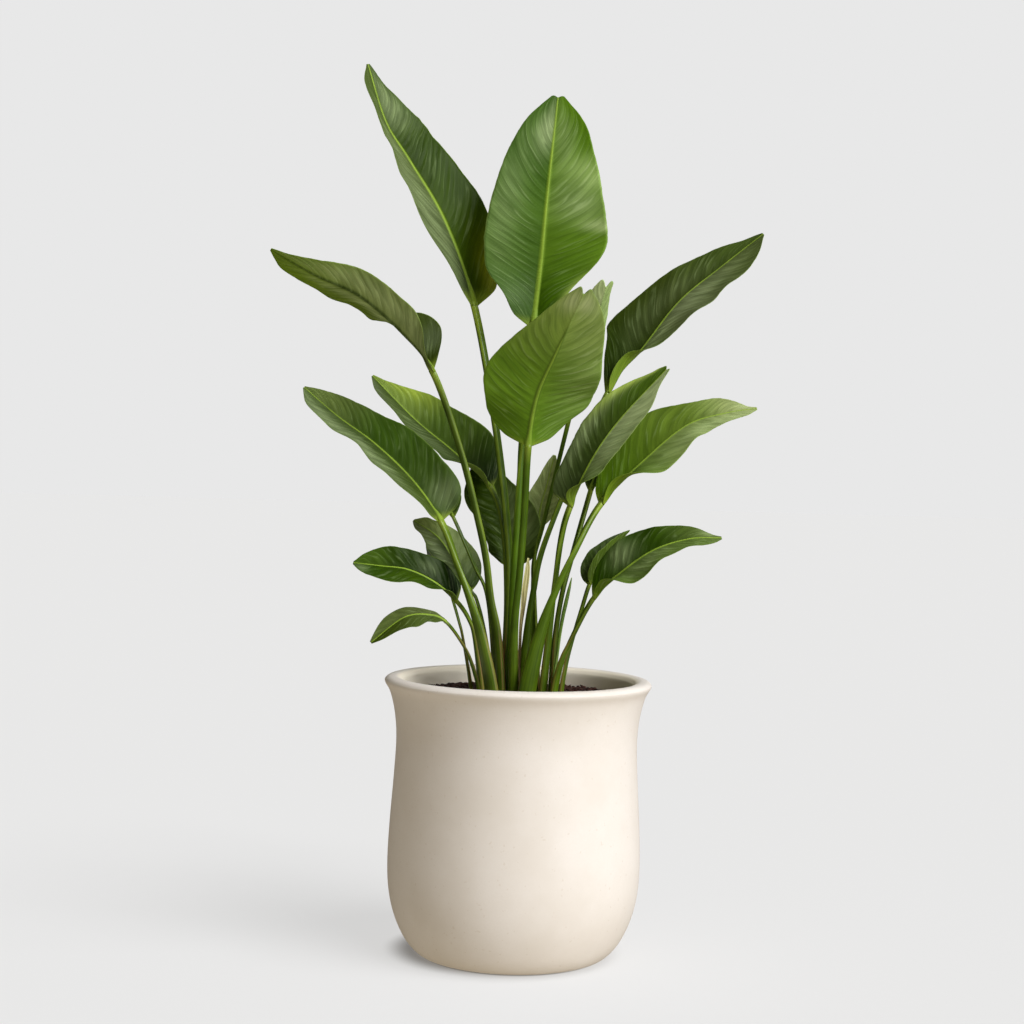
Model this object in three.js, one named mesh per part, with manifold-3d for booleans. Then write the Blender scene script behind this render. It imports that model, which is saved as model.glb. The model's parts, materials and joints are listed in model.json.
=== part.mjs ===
// A potted bird of paradise: twenty broad leaves on long stalks, rising in a clump from the soil
// of a tall round planter with a flared lip. Millimetres, +Z up, +X to the right and +Y to the back.
// The origin is the centre of the planter's foot, on the floor.
import * as THREE from "three";
import Module from "manifold-3d";
import { mergeVertices } from "three/addons/utils/BufferGeometryUtils.js";

const wasm = await Module();
wasm.setup();

// ---------------------------------------------------------------- driving dimensions

const POT_HEIGHT = 365; // foot to the top of the lip
const FLOOR_THICKNESS = 14; // of the planter
const SOIL_TOP = POT_HEIGHT - 24; // nominal height of the soil
const SOIL_GAP = 0.4; // between the soil and the planter's wall
const SOIL_BUMP = 2.2; // height of the lumps in the soil
const SOIL_RINGS = [149.6, 122, 92, 60, 30]; // radii of the rings that the lumps follow
const SOIL_LUMPS = { across: 11, back: 13, slant: 7, share: 0.6 }; // mm in a radian of each wave
const ROOT_DEPTH = 50; // of each stalk in the soil
const HOLE_GAP = 0.5; // round each stalk in its hole
const JOINT_GAP = 0.3; // between the end of a stalk and its blade
const CLASP = 140; // height above the soil at which the sheath of most stalks ends
const BLADE_THICKNESS = 1.0;
const MIDRIB = 2.2; // half width of most midribs beyond the stalk's neck
const RIB_TIP = 0.9; // half width of a midrib at the tip
const RIB_THINS = 0.8; // how a midrib thins towards the tip: evenly at 1, sooner below it
const NECK_RUN = 0.09; // share of a blade in which the stalk's neck runs out into the midrib
const NECK_CREST = 0.8; // height of the neck over its half width
const NECK_KEEL = 0.9; // depth of the neck under the blade over its half width
const SETTLE = [0.03, 0.32]; // share of a blade in which turn and fold change from the base's
const EDGE_START = 1.5; // width of each half of a blade at its two ends
const BLADE_COLUMNS = 8; // an even number: the middle column is the crest of the midrib
const STALK_SIDES = 8;
const SPAN_STEPS = 2; // rings of a stalk from each of its points to the next
const POT_SEGMENTS = 40;

// The planter's outline as [radius, height], from the foot up to the lip's outer edge ...
const POT_OUTSIDE = [
  [113, 0], [128, 5.5], [143, 22], [156, 49], [164, 80], [166.8, 118],
  [165.2, 170], [161, 235], [159, 284], [162, 318], [168.5, 344], [175.5, 357],
];
// ... over the rounded lip ...
const POT_LIP = [[175, 361.5], [170, 364.6], [161, POT_HEIGHT], [154, 361]];
// ... and down the inside wall to the floor.
const POT_INSIDE = [
  [150.5, 350], [149, 300], [152, 205], [154, 150],
  [152, 100], [140, 52], [112, 22], [80, FLOOR_THICKNESS],
];

// Where the widths of a blade are given, as shares of its length.
const WIDTH_AT = [0, 0.04, 0.12, 0.25, 0.4, 0.55, 0.7, 0.82, 0.92, 1];

// Each leaf, from the soil to its tip. All lengths are in millimetres and all angles in degrees.
//   root    where the stalk leaves the soil, [x, y]
//   stalk   points that the stalk passes through above the soil
//   rib     points that the midrib passes through, from the stalk's end to the tip
//   sheath  half width and half depth of the stalk at the soil, and its half width at the blade
//   clasp   height above the soil at which the sheath ends, where it isn't CLASP
//   midrib  half width of the midrib beyond the neck, where it isn't MIDRIB
//   turn    how far the upper side is turned about the rib from facing the front, at the base and
//           over the rest
//   left    widths of the left half, as seen on the upper side with the tip up, at WIDTH_AT
//   right   the same for the right half
//   fold    how far the left and right half rise from flat, at the base and over the rest
//   settle  share of the left and right half in which the fold changes, where it isn't SETTLE
//   curl    further rise of the left and right half from the midrib to the margin
//   wave    height and number of the waves along the margin
//   rows    number of steps along the blade
const LEAVES = [
  {
    name: "crown_left",
    root: [-15, 16],
    stalk: [[-15, 18, 466], [-18, 22, 546], [-38, 36, 692]],
    rib: [[-72, 60, 859], [-115, 80, 974], [-167, 95, 1059], [-201, 103, 1112], [-228, 108, 1191]],
    sheath: [10, 7, 5],
    midrib: 2.6,
    turn: [-48, -38],
    left: [18, 38, 70, 54, 33, 18, 19, 24],
    right: [39, 54, 67, 61, 53, 50, 36, 14],
    fold: [[10, 26], [10, 4]],
    curl: [8, 8],
    wave: [1.5, 4],
    rows: 13,
  },
  {
    name: "crown_centre",
    root: [-9, 0],
    stalk: [[-10, 0, 467], [-7, 2, 560], [-3, 8, 678]],
    rib: [[8, 25, 830], [16, 34, 917], [22, 50, 1003], [34, 92, 1149]],
    sheath: [8, 6, 5],
    midrib: 3.6,
    turn: [2, 3],
    left: [27, 43, 68, 76, 76, 70, 58, 39],
    right: [20, 33, 54, 82, 83, 73, 58, 40],
    fold: [[30, 8], [25, 6]],
    curl: [-6, 8],
    wave: [1.5, 3],
    rows: 14,
  },
  {
    name: "front_centre",
    root: [-6, -28],
    stalk: [[-7, -31, 430], [-2, -32, 502], [2, -34, 581]],
    rib: [[5, -44, 671], [14, -72, 733], [34, -112, 782], [66, -190, 854]],
    sheath: [7, 5.5, 4.6],
    midrib: 3,
    turn: [178, 163],
    left: [25, 45, 73, 77, 73, 62, 50, 34],
    right: [31, 52, 62, 72, 67, 55, 39, 25],
    fold: [[18, 8], [18, 8]],
    curl: [8, 8],
    wave: [1, 3],
    rows: 13,
  },
  {
    name: "young_back",
    root: [25, 30],
    stalk: [[19, 31, 466], [17, 31, 519], [30, 31, 576]],
    rib: [[63, 26, 727], [76, 10, 779], [90, -16, 837], [100, -44, 879]],
    sheath: [6, 4.5, 3],
    turn: [170, 170],
    left: [8, 15, 22, 25, 25, 23, 18, 12],
    right: [10, 18, 26, 30, 30, 27, 22, 16],
    fold: [[60, 72], [40, 33]],
    curl: [14, 14],
    wave: [0.5, 3],
    rows: 9,
  },
  {
    name: "right_high",
    root: [8, 4],
    stalk: [[10, 6, 414], [17, 9, 478], [35, 16, 558]],
    rib: [[110, 45, 746], [158, 58, 810], [205, 66, 873], [259, 70, 920], [316, 66, 967]],
    sheath: [8, 5.5, 4],
    turn: [60, 42],
    left: [16, 39, 65, 57, 46, 37, 24, 11],
    right: [11, 16, 20, 32, 42, 39, 38, 26],
    fold: [[25, 6], [84, 4]],
    settle: [[0.03, 0.32], [0.12, 0.3]],
    curl: [8, 8],
    wave: [1.5, 4],
    rows: 14,
  },
  {
    name: "right_mid",
    root: [32, -14],
    stalk: [[38, -13, 417], [43, -12, 476], [51, -12, 549]],
    rib: [[62, -14, 593], [89, -14, 655], [125, -10, 709], [184, -12, 776]],
    sheath: [7.5, 5.5, 4.2],
    turn: [50, 40],
    left: [25, 33, 34, 35, 38, 36, 27, 14],
    right: [16, 28, 30, 31, 36, 35, 29, 12],
    fold: [[25, 18], [75, 9]],
    curl: [8, 8],
    wave: [1, 3],
    rows: 12,
  },
  {
    name: "right_bright",
    root: [10, -40],
    stalk: [[25, -38, 419], [41, -36, 471], [69, -28, 535]],
    rib: [[103, -6, 598], [157, 10, 654], [215, 18, 704], [268, 20, 722], [308, 20, 729]],
    sheath: [12.5, 7, 4.4],
    clasp: 160,
    turn: [58, 40],
    left: [18, 36, 50, 49, 28, 25, 15, 5],
    right: [13, 28, 42, 38, 28, 20, 14, 9],
    fold: [[20, 10], [62, 7]],
    settle: [[0.03, 0.32], [0.06, 0.28]],
    curl: [8, 8],
    wave: [1.5, 4],
    rows: 13,
  },
  {
    name: "right_tucked",
    root: [44, 10],
    stalk: [[47, 12, 415], [55, 14, 475], [68, 24, 528]],
    rib: [[91, 42, 615], [104, 54, 662], [122, 62, 703], [148, 68, 742]],
    sheath: [7, 5, 3.6],
    turn: [45, 40],
    left: [8, 16, 23, 24, 23, 20, 14, 8],
    right: [8, 16, 21, 22, 21, 18, 13, 7],
    fold: [[20, 12], [20, 10]],
    curl: [8, 8],
    wave: [0.6, 3],
    rows: 8,
  },
  {
    name: "right_low",
    root: [46, -26],
    stalk: [[54, -26, 385], [67, -28, 419]],
    rib: [[95, -46, 476], [132, -58, 513], [171, -64, 541], [216, -64, 556], [257, -58, 558]],
    sheath: [6.5, 5, 3.4],
    clasp: 90,
    turn: [58, 42],
    left: [13, 28, 36, 35, 28, 21, 13, 5],
    right: [10, 20, 32, 31, 20, 16, 14, 10],
    fold: [[20, 12], [70, 10]],
    settle: [[0.03, 0.32], [0.1, 0.28]],
    curl: [6, 8],
    wave: [1.2, 4],
    rows: 12,
  },
  {
    name: "right_low_back",
    root: [56, -4],
    stalk: [[61, -3, 379], [68, 0, 410], [82, 4, 460]],
    rib: [[91, 8, 490], [104, 26, 515], [121, 50, 534], [147, 92, 560]],
    sheath: [4.5, 4, 3],
    clasp: 90,
    turn: [70, 70],
    left: [9, 16, 21, 22, 21, 18, 13, 7],
    right: [9, 16, 21, 22, 21, 18, 13, 7],
    fold: [[50, 45], [60, 50]],
    curl: [8, 8],
    wave: [0.6, 3],
    rows: 8,
  },
  {
    name: "left_high",
    root: [-24, -14],
    stalk: [[-30, -15, 422], [-39, -17, 468], [-46, -20, 520], [-58, -24, 573], [-83, -30, 663]],
    rib: [[-121, -40, 763], [-161, -62, 811], [-214, -90, 854], [-269, -112, 877], [-324, -124, 906]],
    sheath: [12, 7, 4.8],
    clasp: 175,
    turn: [-100, -130],
    left: [8, 26, 42, 39, 37, 30, 17, 7],
    right: [16, 44, 45, 26, 33, 28, 26, 23],
    fold: [[-5, 6], [72, 6]],
    settle: [[0.03, 0.32], [0.2, 0.4]],
    curl: [6, 6],
    wave: [1, 4],
    rows: 14,
  },
  {
    name: "left_mid",
    root: [-33, -36],
    stalk: [[-49, -37, 417], [-65, -38, 468], [-84, -30, 516]],
    rib: [[-107, -22, 570], [-146, -4, 622], [-198, 12, 669], [-249, 24, 704], [-296, 30, 742]],
    sheath: [10.5, 6.5, 4.8],
    clasp: 175,
    turn: [-50, -36],
    left: [20, 28, 39, 43, 32, 36, 36, 27],
    right: [30, 49, 48, 47, 37, 31, 24, 13],
    fold: [[20, 26], [20, 18]],
    curl: [8, 6],
    wave: [1.5, 4],
    rows: 14,
  },
  {
    name: "left_mid_back",
    root: [-17, 36],
    stalk: [[-18, 35, 465], [-25, 34, 558]],
    rib: [[-44, 44, 615], [-93, 68, 660], [-149, 84, 704], [-210, 92, 763]],
    sheath: [7, 6, 3.6],
    turn: [-48, -38],
    left: [14, 28, 44, 44, 43, 40, 33, 28],
    right: [14, 34, 52, 52, 46, 40, 25, 10],
    fold: [[60, 30], [20, 22]],
    curl: [8, 6],
    wave: [1, 3],
    rows: 12,
  },
  {
    name: "centre_low",
    root: [-14, 54],
    stalk: [[-12, 53, 437]],
    rib: [[-13, 50, 508], [-18, 58, 544], [-31, 70, 591], [-45, 80, 629], [-61, 84, 663]],
    sheath: [6, 5, 3.4],
    clasp: 110,
    turn: [0, 0],
    left: [15, 28, 28, 33, 42, 40, 28, 15],
    right: [27, 40, 47, 46, 33, 20, 13, 8],
    fold: [[25, 12], [25, 12]],
    curl: [8, 8],
    wave: [0.8, 3],
    rows: 9,
  },
  {
    name: "centre_right",
    root: [18, 48],
    stalk: [[17, 56, 444], [18, 68, 525]],
    rib: [[22, 74, 559], [25, 77, 589], [33, 77, 621], [42, 74, 661]],
    sheath: [5, 4.5, 3],
    turn: [25, 25],
    left: [8, 16, 22, 22, 18, 14, 10, 6],
    right: [8, 20, 30, 30, 26, 20, 14, 8],
    fold: [[30, 20], [30, 20]],
    curl: [8, 8],
    wave: [0.6, 3],
    rows: 8,
  },
  {
    name: "left_low_back",
    root: [-33, 20],
    stalk: [[-47, 20, 425], [-58, 20, 465]],
    rib: [[-66, 20, 477], [-88, 28, 514], [-112, 36, 546], [-146, 48, 568]],
    sheath: [5.5, 4.5, 2.4],
    clasp: 110,
    turn: [-45, -40],
    left: [12, 22, 31, 34, 34, 25, 15, 11],
    right: [10, 22, 31, 32, 27, 21, 16, 12],
    fold: [[40, 12], [20, 12]],
    curl: [8, 8],
    wave: [0.8, 3],
    rows: 9,
  },
  {
    name: "left_low",
    root: [-47, -8],
    stalk: [[-58, -12, 414], [-66, -14, 440]],
    rib: [[-83, -24, 465], [-112, -36, 490], [-147, -44, 506], [-183, -48, 510], [-218, -46, 513]],
    sheath: [6.5, 5, 3],
    clasp: 90,
    turn: [-58, -45],
    left: [8, 11, 13, 17, 25, 26, 20, 12],
    right: [19, 26, 31, 28, 28, 28, 23, 14],
    fold: [[65, 5], [15, 12]],
    settle: [[0.1, 0.3], [0.03, 0.32]],
    curl: [6, 8],
    wave: [1, 3],
    rows: 11,
  },
  {
    name: "left_lowest",
    root: [-49, -26],
    stalk: [[-63, -27, 389], [-77, -31, 415]],
    rib: [[-96, -40, 439], [-115, -48, 448], [-149, -58, 445], [-191, -66, 412]],
    sheath: [3.5, 3, 2.2],
    clasp: 90,
    turn: [-45, -38],
    left: [6, 8, 10, 12, 20, 20, 13, 8],
    right: [3, 3, 4, 6, 10, 14, 15, 9],
    fold: [[50, 10], [-40, 5]],
    curl: [6, 6],
    wave: [0.8, 3],
    rows: 10,
  },
  {
    name: "left_hidden",
    root: [-61, 8],
    stalk: [[-74, 8, 412], [-81, 9, 438]],
    rib: [[-92, 22, 471], [-100, 40, 495], [-113, 62, 517], [-128, 90, 540]],
    sheath: [3, 3, 2],
    clasp: 90,
    turn: [-40, -40],
    left: [7, 14, 20, 21, 20, 17, 12, 7],
    right: [7, 14, 20, 21, 20, 17, 12, 7],
    fold: [[30, 20], [30, 20]],
    curl: [8, 8],
    wave: [0.5, 3],
    rows: 8,
  },
  {
    name: "left_tucked",
    root: [-28, 6],
    stalk: [[-43, 4, 466], [-62, 4, 511]],
    rib: [[-92, 12, 575], [-106, 28, 594], [-124, 46, 613], [-144, 64, 634]],
    sheath: [5, 4.5, 2.4],
    turn: [-40, -40],
    left: [8, 16, 23, 25, 24, 20, 14, 8],
    right: [8, 16, 23, 25, 24, 20, 14, 8],
    fold: [[30, 20], [30, 20]],
    curl: [8, 8],
    wave: [0.6, 3],
    rows: 8,
  },
];

// The rolled young leaf and the dried sheath that stand in the clump. halves are the half widths at
// ROD_AT, which are shares of the length, and thin is the depth over the width.
const ROD_AT = [0, 0.25, 0.5, 0.65, 0.8, 0.93, 1];
const SPEAR = {
  name: "rolled_spear",
  root: [46, -2],
  stalk: [[50, -2, 388], [56, -2, 442], [67, -2, 499]],
  halves: [3, 2.8, 2.2, 2.2, 2.8, 2.2, 0.6],
  thin: 0.8,
};
const SHEATH = {
  name: "dry_sheath",
  root: [1, -12],
  stalk: [[1, -12, 402], [2, -12, 442], [6, -12, 482], [9, -12, 524]],
  halves: [2.2, 2.2, 2, 3.2, 5.4, 4.6, 1.2],
  thin: 0.3,
};

// ---------------------------------------------------------------- materials

const matte = (color, roughness) => new THREE.MeshStandardMaterial({ color, roughness, metalness: 0 });
const GLAZE = matte("#e6dccb", 0.55);
const SOIL = matte("#35231b", 0.95);
const BLADE = matte("#2f6a1c", 0.4);
const STALK = matte("#5a8a2c", 0.5);
const DRY = matte("#b99a5c", 0.8);

// ---------------------------------------------------------------- small helpers

const FRONT = new THREE.Vector3(0, -1, 0);
const mix = THREE.MathUtils.lerp;
const smooth = THREE.MathUtils.smoothstep;
const radians = THREE.MathUtils.degToRad;

/** A smooth curve through points, given as [x, y, z]. */
function curveThrough(points) {
  const vectors = points.map((p) => new THREE.Vector3(...p));
  return new THREE.CatmullRomCurve3(vectors, false, "catmullrom", 0.5);
}

/** The value at a place of the smooth line through values that are given at rising stations. */
function valueAt(stations, values, at) {
  const last = stations.length - 1;
  const i = Math.min(stations.findLastIndex((station) => station <= at), last - 1);
  const slope = (k) => {
    const [a, b] = [Math.max(k - 1, 0), Math.min(k + 1, last)];
    return (values[b] - values[a]) / (stations[b] - stations[a]);
  };
  const span = stations[i + 1] - stations[i];
  const t = (at - stations[i]) / span;
  const start = values[i] * (1 + 2 * t) * (1 - t) ** 2 + values[i + 1] * t * t * (3 - 2 * t);
  return start + span * (slope(i) * t * (1 - t) ** 2 - slope(i + 1) * t * t * (1 - t));
}

/** A mesh for one piece of the object. */
function piece(name, geometry, material) {
  const mesh = new THREE.Mesh(geometry, material);
  mesh.name = name;
  return mesh;
}

/** A closed geometry as a manifold solid. */
function solidOf(geometry) {
  const bare = geometry.clone();
  bare.deleteAttribute("normal");
  bare.deleteAttribute("uv");
  const merged = mergeVertices(bare, 1e-3);
  return new wasm.Manifold(
    new wasm.Mesh({
      numProp: 3,
      vertProperties: new Float32Array(merged.attributes.position.array),
      triVerts: new Uint32Array(merged.index.array),
    }),
  );
}

/** A manifold solid as a geometry. */
function geometryOf(solid) {
  const { vertProperties, triVerts } = solid.getMesh();
  const geometry = new THREE.BufferGeometry();
  geometry.setAttribute("position", new THREE.BufferAttribute(vertProperties, 3));
  geometry.setIndex(new THREE.BufferAttribute(triVerts, 1));
  return geometry;
}

/** A closed surface of revolution about Z from a profile of [radius, height]. */
function turned(profile, segments) {
  const points = profile.map(([radius, height]) => new THREE.Vector2(radius, height));
  return new THREE.LatheGeometry(points, segments).rotateX(Math.PI / 2);
}

/**
 * A thin closed sheet: place(u, v, side) gives the point at column u from -1 to 1 and row v from 0
 * to 1, on the upper face (side 1) or the lower one (side -1). Both faces are split alike.
 */
function closedSheet(columns, rows, place) {
  const plane = new THREE.PlaneGeometry(2, 1, columns, rows);
  const grid = plane.attributes.position;
  const positions = [];
  for (const side of [1, -1]) {
    for (let i = 0; i < grid.count; i++) {
      positions.push(...place(grid.getX(i), grid.getY(i) + 0.5, side));
    }
  }
  const across = columns + 1;
  const below = grid.count;
  const faces = [...plane.index.array];
  for (let i = 0; i < plane.index.count; i += 3) {
    const [a, b, c] = plane.index.array.slice(i, i + 3);
    faces.push(below + a, below + c, below + b);
  }
  const border = [];
  for (let i = 0; i < columns; i++) border.push(i);
  for (let j = 0; j < rows; j++) border.push(j * across + columns);
  for (let i = columns; i > 0; i--) border.push(rows * across + i);
  for (let j = rows; j > 0; j--) border.push(j * across);
  border.forEach((a, i) => {
    const b = border[(i + 1) % border.length];
    faces.push(a, b, below + a, b, below + b, below + a);
  });
  const geometry = new THREE.BufferGeometry();
  geometry.setAttribute("position", new THREE.Float32BufferAttribute(positions, 3));
  geometry.setIndex(faces);
  return geometry;
}

// ---------------------------------------------------------------- a leaf

/**
 * The curve of a whole leaf, from the buried end of its stalk to its tip, and the share of it that
 * is stalk. A piece without a rib is stalk to its end.
 */
function spineOf({ root: [x, y], stalk, rib = [] }) {
  const below = [[x, y, SOIL_TOP - ROOT_DEPTH], [x, y, SOIL_TOP]];
  const points = [...below, ...stalk, ...rib];
  const share = rib.length ? (below.length + stalk.length) / (points.length - 1) : 1;
  return { curve: curveThrough(points), share };
}

/** The frame at a place along a leaf whose upper side is turned by an angle from facing the front. */
function frameAt(curve, at, turn) {
  const along = curve.getTangent(at);
  const across = along.clone().cross(FRONT).normalize();
  const facing = across.clone().cross(along).normalize();
  const angle = radians(turn);
  const up = facing.multiplyScalar(Math.cos(angle)).addScaledVector(across, -Math.sin(angle));
  const right = along.clone().cross(up);
  return { origin: curve.getPoint(at), right, up };
}

/**
 * A closed rod along a curve up to a share of it. section(v, height) gives its half width and half
 * depth at a share of its length, which is at that height.
 */
function sweptRod(curve, upTo, turn, section, steps) {
  const rod = new THREE.CylinderGeometry(1, 1, 1, STALK_SIDES, steps);
  const grid = rod.attributes.position;
  for (let i = 0; i < grid.count; i++) {
    const v = grid.getY(i) + 0.5;
    const { origin, right, up } = frameAt(curve, v * upTo, turn);
    const [wide, deep] = section(v, origin.z);
    origin.addScaledVector(right, grid.getX(i) * wide).addScaledVector(up, grid.getZ(i) * deep);
    grid.setXYZ(i, origin.x, origin.y, origin.z);
  }
  return rod;
}

/** The stalk of a leaf: a clasping oval sheath at the soil that narrows to a round neck. */
function stalkOf(leaf, grow = 0) {
  const { curve, share } = spineOf(leaf);
  const [wide, deep, neck] = leaf.sheath;
  const section = (v, height) => {
    const open = 1 - smooth(height, SOIL_TOP, SOIL_TOP + (leaf.clasp ?? CLASP));
    return [mix(neck, wide, open) + grow, mix(neck, deep, open) + grow];
  };
  const end = share - JOINT_GAP / curve.getLength();
  return sweptRod(curve, end, leaf.turn[0], section, SPAN_STEPS * (leaf.stalk.length + 2));
}

/** The blade of a leaf with its raised midrib, as one thin folded and waved solid. */
function bladeOf(leaf) {
  const { curve, share } = spineOf(leaf);
  const neck = leaf.sheath[2];
  const midrib = leaf.midrib ?? MIDRIB;
  const settle = leaf.settle ?? [SETTLE, SETTLE];
  const [waveHeight, waves] = leaf.wave;
  const steps = BLADE_COLUMNS / 2;

  const place = (u, row, side) => {
    const v = mix(row, smooth(row, 0, 1), 0.5);
    const turn = mix(...leaf.turn, smooth(v, ...SETTLE));
    const { origin, right, up } = frameAt(curve, mix(share, 1, v), turn);
    const body = 1 - smooth(v, 0, NECK_RUN);
    const rib = mix(midrib, RIB_TIP, v ** RIB_THINS) + (neck - midrib) * body;
    const step = Math.round(Math.abs(u) * steps);
    if (step === 0) {
      const crest = mix(BLADE_THICKNESS / 2, neck * NECK_CREST, body);
      const keel = mix(rib, neck * NECK_KEEL, body);
      return origin.addScaledVector(up, side > 0 ? crest : -keel).toArray();
    }
    const hand = u < 0 ? 0 : 1;
    const widths = [EDGE_START, ...(hand ? leaf.right : leaf.left), EDGE_START];
    const width = valueAt(WIDTH_AT, widths, v);
    const reach = (step - 1) / (steps - 1);
    const rise = radians(mix(...leaf.fold[hand], smooth(v, ...settle[hand])));
    const bend = radians(leaf.curl[hand]);
    const angle = rise + bend * reach;
    const out = (width * (Math.sin(angle) - Math.sin(rise))) / bend;
    const lift = (width * (Math.cos(rise) - Math.cos(angle))) / bend;
    const thickness = mix(BLADE_THICKNESS, neck, step === 1 ? body : 0);
    const beat = Math.sin(2 * Math.PI * (waves * v + hand / 3)) * Math.sin(Math.PI * v);
    const off = waveHeight * reach * reach * beat + (side * thickness) / 2;
    return origin
      .addScaledVector(right, (hand ? 1 : -1) * (rib + out - off * Math.sin(angle)))
      .addScaledVector(up, lift + off * Math.cos(angle))
      .toArray();
  };
  return closedSheet(BLADE_COLUMNS, leaf.rows, place);
}

// ---------------------------------------------------------------- planter, soil and the small pieces

/** The planter: one turned wall with a flat foot, a full belly and a flared, rounded lip. */
function planter() {
  const profile = [[0, 0], ...POT_OUTSIDE, ...POT_LIP, ...POT_INSIDE, [0, FLOOR_THICKNESS]];
  return piece("planter", turned(profile, POT_SEGMENTS), GLAZE);
}

/** Height of the soil's surface at a place, with its low lumps. */
function soilHeight(x, y) {
  const { across, back, slant, share } = SOIL_LUMPS;
  const lumps = Math.sin(x / across) * Math.cos(y / back) + share * Math.sin((x + y) / slant);
  return SOIL_TOP + (SOIL_BUMP / 2) * lumps;
}

/** The soil: it fills the planter's inside, is lumpy on top, and has a plain hole for each stalk. */
function soil(plugs) {
  const wall = POT_INSIDE.slice(1).map(([radius, height]) => [radius - SOIL_GAP, height + SOIL_GAP]);
  const top = SOIL_RINGS.map((radius) => [radius, SOIL_TOP]);
  const body = turned([[0, wall.at(-1)[1]], ...wall.reverse(), ...top, [0, SOIL_TOP]], POT_SEGMENTS);
  const grid = body.attributes.position;
  for (let i = 0; i < grid.count; i++) {
    if (grid.getZ(i) > SOIL_TOP - 0.01) grid.setZ(i, soilHeight(grid.getX(i), grid.getY(i)));
  }
  const solid = plugs.reduce((rest, plug) => rest.subtract(solidOf(plug)), solidOf(body));
  return piece("soil", geometryOf(solid), SOIL);
}

/** A pointed rod that stands in the soil: grow widens it for its hole. */
function pointedRod(rod, grow = 0) {
  const section = (v) => {
    const half = valueAt(ROD_AT, rod.halves, v);
    return [half + grow, half * rod.thin + grow];
  };
  return sweptRod(spineOf(rod).curve, 1, 0, section, SPAN_STEPS * (rod.stalk.length + 1));
}

// ---------------------------------------------------------------- the assembly

const plant = new THREE.Group();
const plugs = [];
for (const leaf of LEAVES) {
  plant.add(piece(`${leaf.name}_stalk`, stalkOf(leaf), STALK));
  plant.add(piece(`${leaf.name}_blade`, bladeOf(leaf), BLADE));
  plugs.push(stalkOf(leaf, HOLE_GAP));
}
for (const [rod, material] of [[SPEAR, STALK], [SHEATH, DRY]]) {
  plant.add(piece(rod.name, pointedRod(rod), material));
  plugs.push(pointedRod(rod, HOLE_GAP));
}

const pottedPlant = new THREE.Group();
pottedPlant.add(planter(), soil(plugs), plant);

export default pottedPlant;
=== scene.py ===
import json
import logging
import math
import random
from collections.abc import Callable, Iterator
from dataclasses import dataclass
from enum import Enum, IntEnum
from typing import NamedTuple

import bmesh
import bpy
from mathutils import Euler, Matrix, Vector, noise

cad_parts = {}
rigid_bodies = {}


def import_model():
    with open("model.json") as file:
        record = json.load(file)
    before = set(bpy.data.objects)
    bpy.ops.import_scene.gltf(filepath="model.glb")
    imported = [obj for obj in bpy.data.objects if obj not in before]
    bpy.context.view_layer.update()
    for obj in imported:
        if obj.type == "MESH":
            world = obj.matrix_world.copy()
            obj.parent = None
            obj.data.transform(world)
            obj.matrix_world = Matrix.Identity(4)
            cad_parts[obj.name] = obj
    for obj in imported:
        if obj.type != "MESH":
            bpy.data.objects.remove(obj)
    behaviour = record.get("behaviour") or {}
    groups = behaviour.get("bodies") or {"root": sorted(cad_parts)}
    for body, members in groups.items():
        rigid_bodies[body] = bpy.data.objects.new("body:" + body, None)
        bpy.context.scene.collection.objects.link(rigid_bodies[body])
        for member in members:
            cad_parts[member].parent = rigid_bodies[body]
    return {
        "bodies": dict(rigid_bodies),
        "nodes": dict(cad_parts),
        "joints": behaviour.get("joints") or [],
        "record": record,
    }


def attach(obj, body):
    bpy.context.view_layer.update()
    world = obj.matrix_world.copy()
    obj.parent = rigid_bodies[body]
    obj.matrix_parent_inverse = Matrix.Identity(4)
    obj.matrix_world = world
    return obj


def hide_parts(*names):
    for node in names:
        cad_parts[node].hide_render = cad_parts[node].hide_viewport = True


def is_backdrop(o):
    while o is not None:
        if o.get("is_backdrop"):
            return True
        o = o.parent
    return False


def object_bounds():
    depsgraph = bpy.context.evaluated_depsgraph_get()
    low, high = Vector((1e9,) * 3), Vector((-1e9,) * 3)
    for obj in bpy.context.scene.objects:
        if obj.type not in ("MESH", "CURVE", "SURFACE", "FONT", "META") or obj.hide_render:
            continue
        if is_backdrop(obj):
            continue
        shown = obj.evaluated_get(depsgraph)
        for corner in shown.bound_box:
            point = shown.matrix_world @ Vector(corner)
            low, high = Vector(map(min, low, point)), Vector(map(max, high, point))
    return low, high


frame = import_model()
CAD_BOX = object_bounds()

# A potted bird of paradise: twenty broad leaves on long stalks in a tall cream planter. The tables
# are in millimetres, as the part's own drawing gives them, and every mesh is in metres.

LOG = logging.getLogger("potted_plant")
BODY = "root"
MM = 0.001
FRONT = Vector((0.0, -1.0, 0.0))
UP = Vector((0.0, 0.0, 1.0))

Pair = tuple[float, float]
Triple = tuple[float, float, float]
Shades = tuple[Triple, Triple, Triple]


# ---------------------------------------- small helpers


def mix(low: float, high: float, share: float) -> float:
    """Returns the value at a share of the way from low to high."""
    return low + (high - low) * share


def smooth(low: float, high: float, value: float) -> float:
    """Returns a smooth step from 0 at low to 1 at high, which may be the smaller one."""
    share = min(max((value - low) / (high - low), 0.0), 1.0)
    return share * share * (3.0 - 2.0 * share)


def linear(colour: Triple) -> Triple:
    """Returns a colour of three sRGB bytes as linear light."""
    parts = [part / 255.0 for part in colour]
    return tuple(p / 12.92 if p <= 0.04045 else ((p + 0.055) / 1.055) ** 2.4 for p in parts)


def blended(first: Triple, second: Triple, share: float) -> Triple:
    """Returns the colour at a share of the way from the first to the second."""
    return tuple(mix(a, b, share) for a, b in zip(first, second))


def bell(middle: float, spread: float, value: float) -> float:
    """Returns the height of a smooth hump that is 1 at its middle."""
    return math.exp(-(((value - middle) / spread) ** 2))


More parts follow.
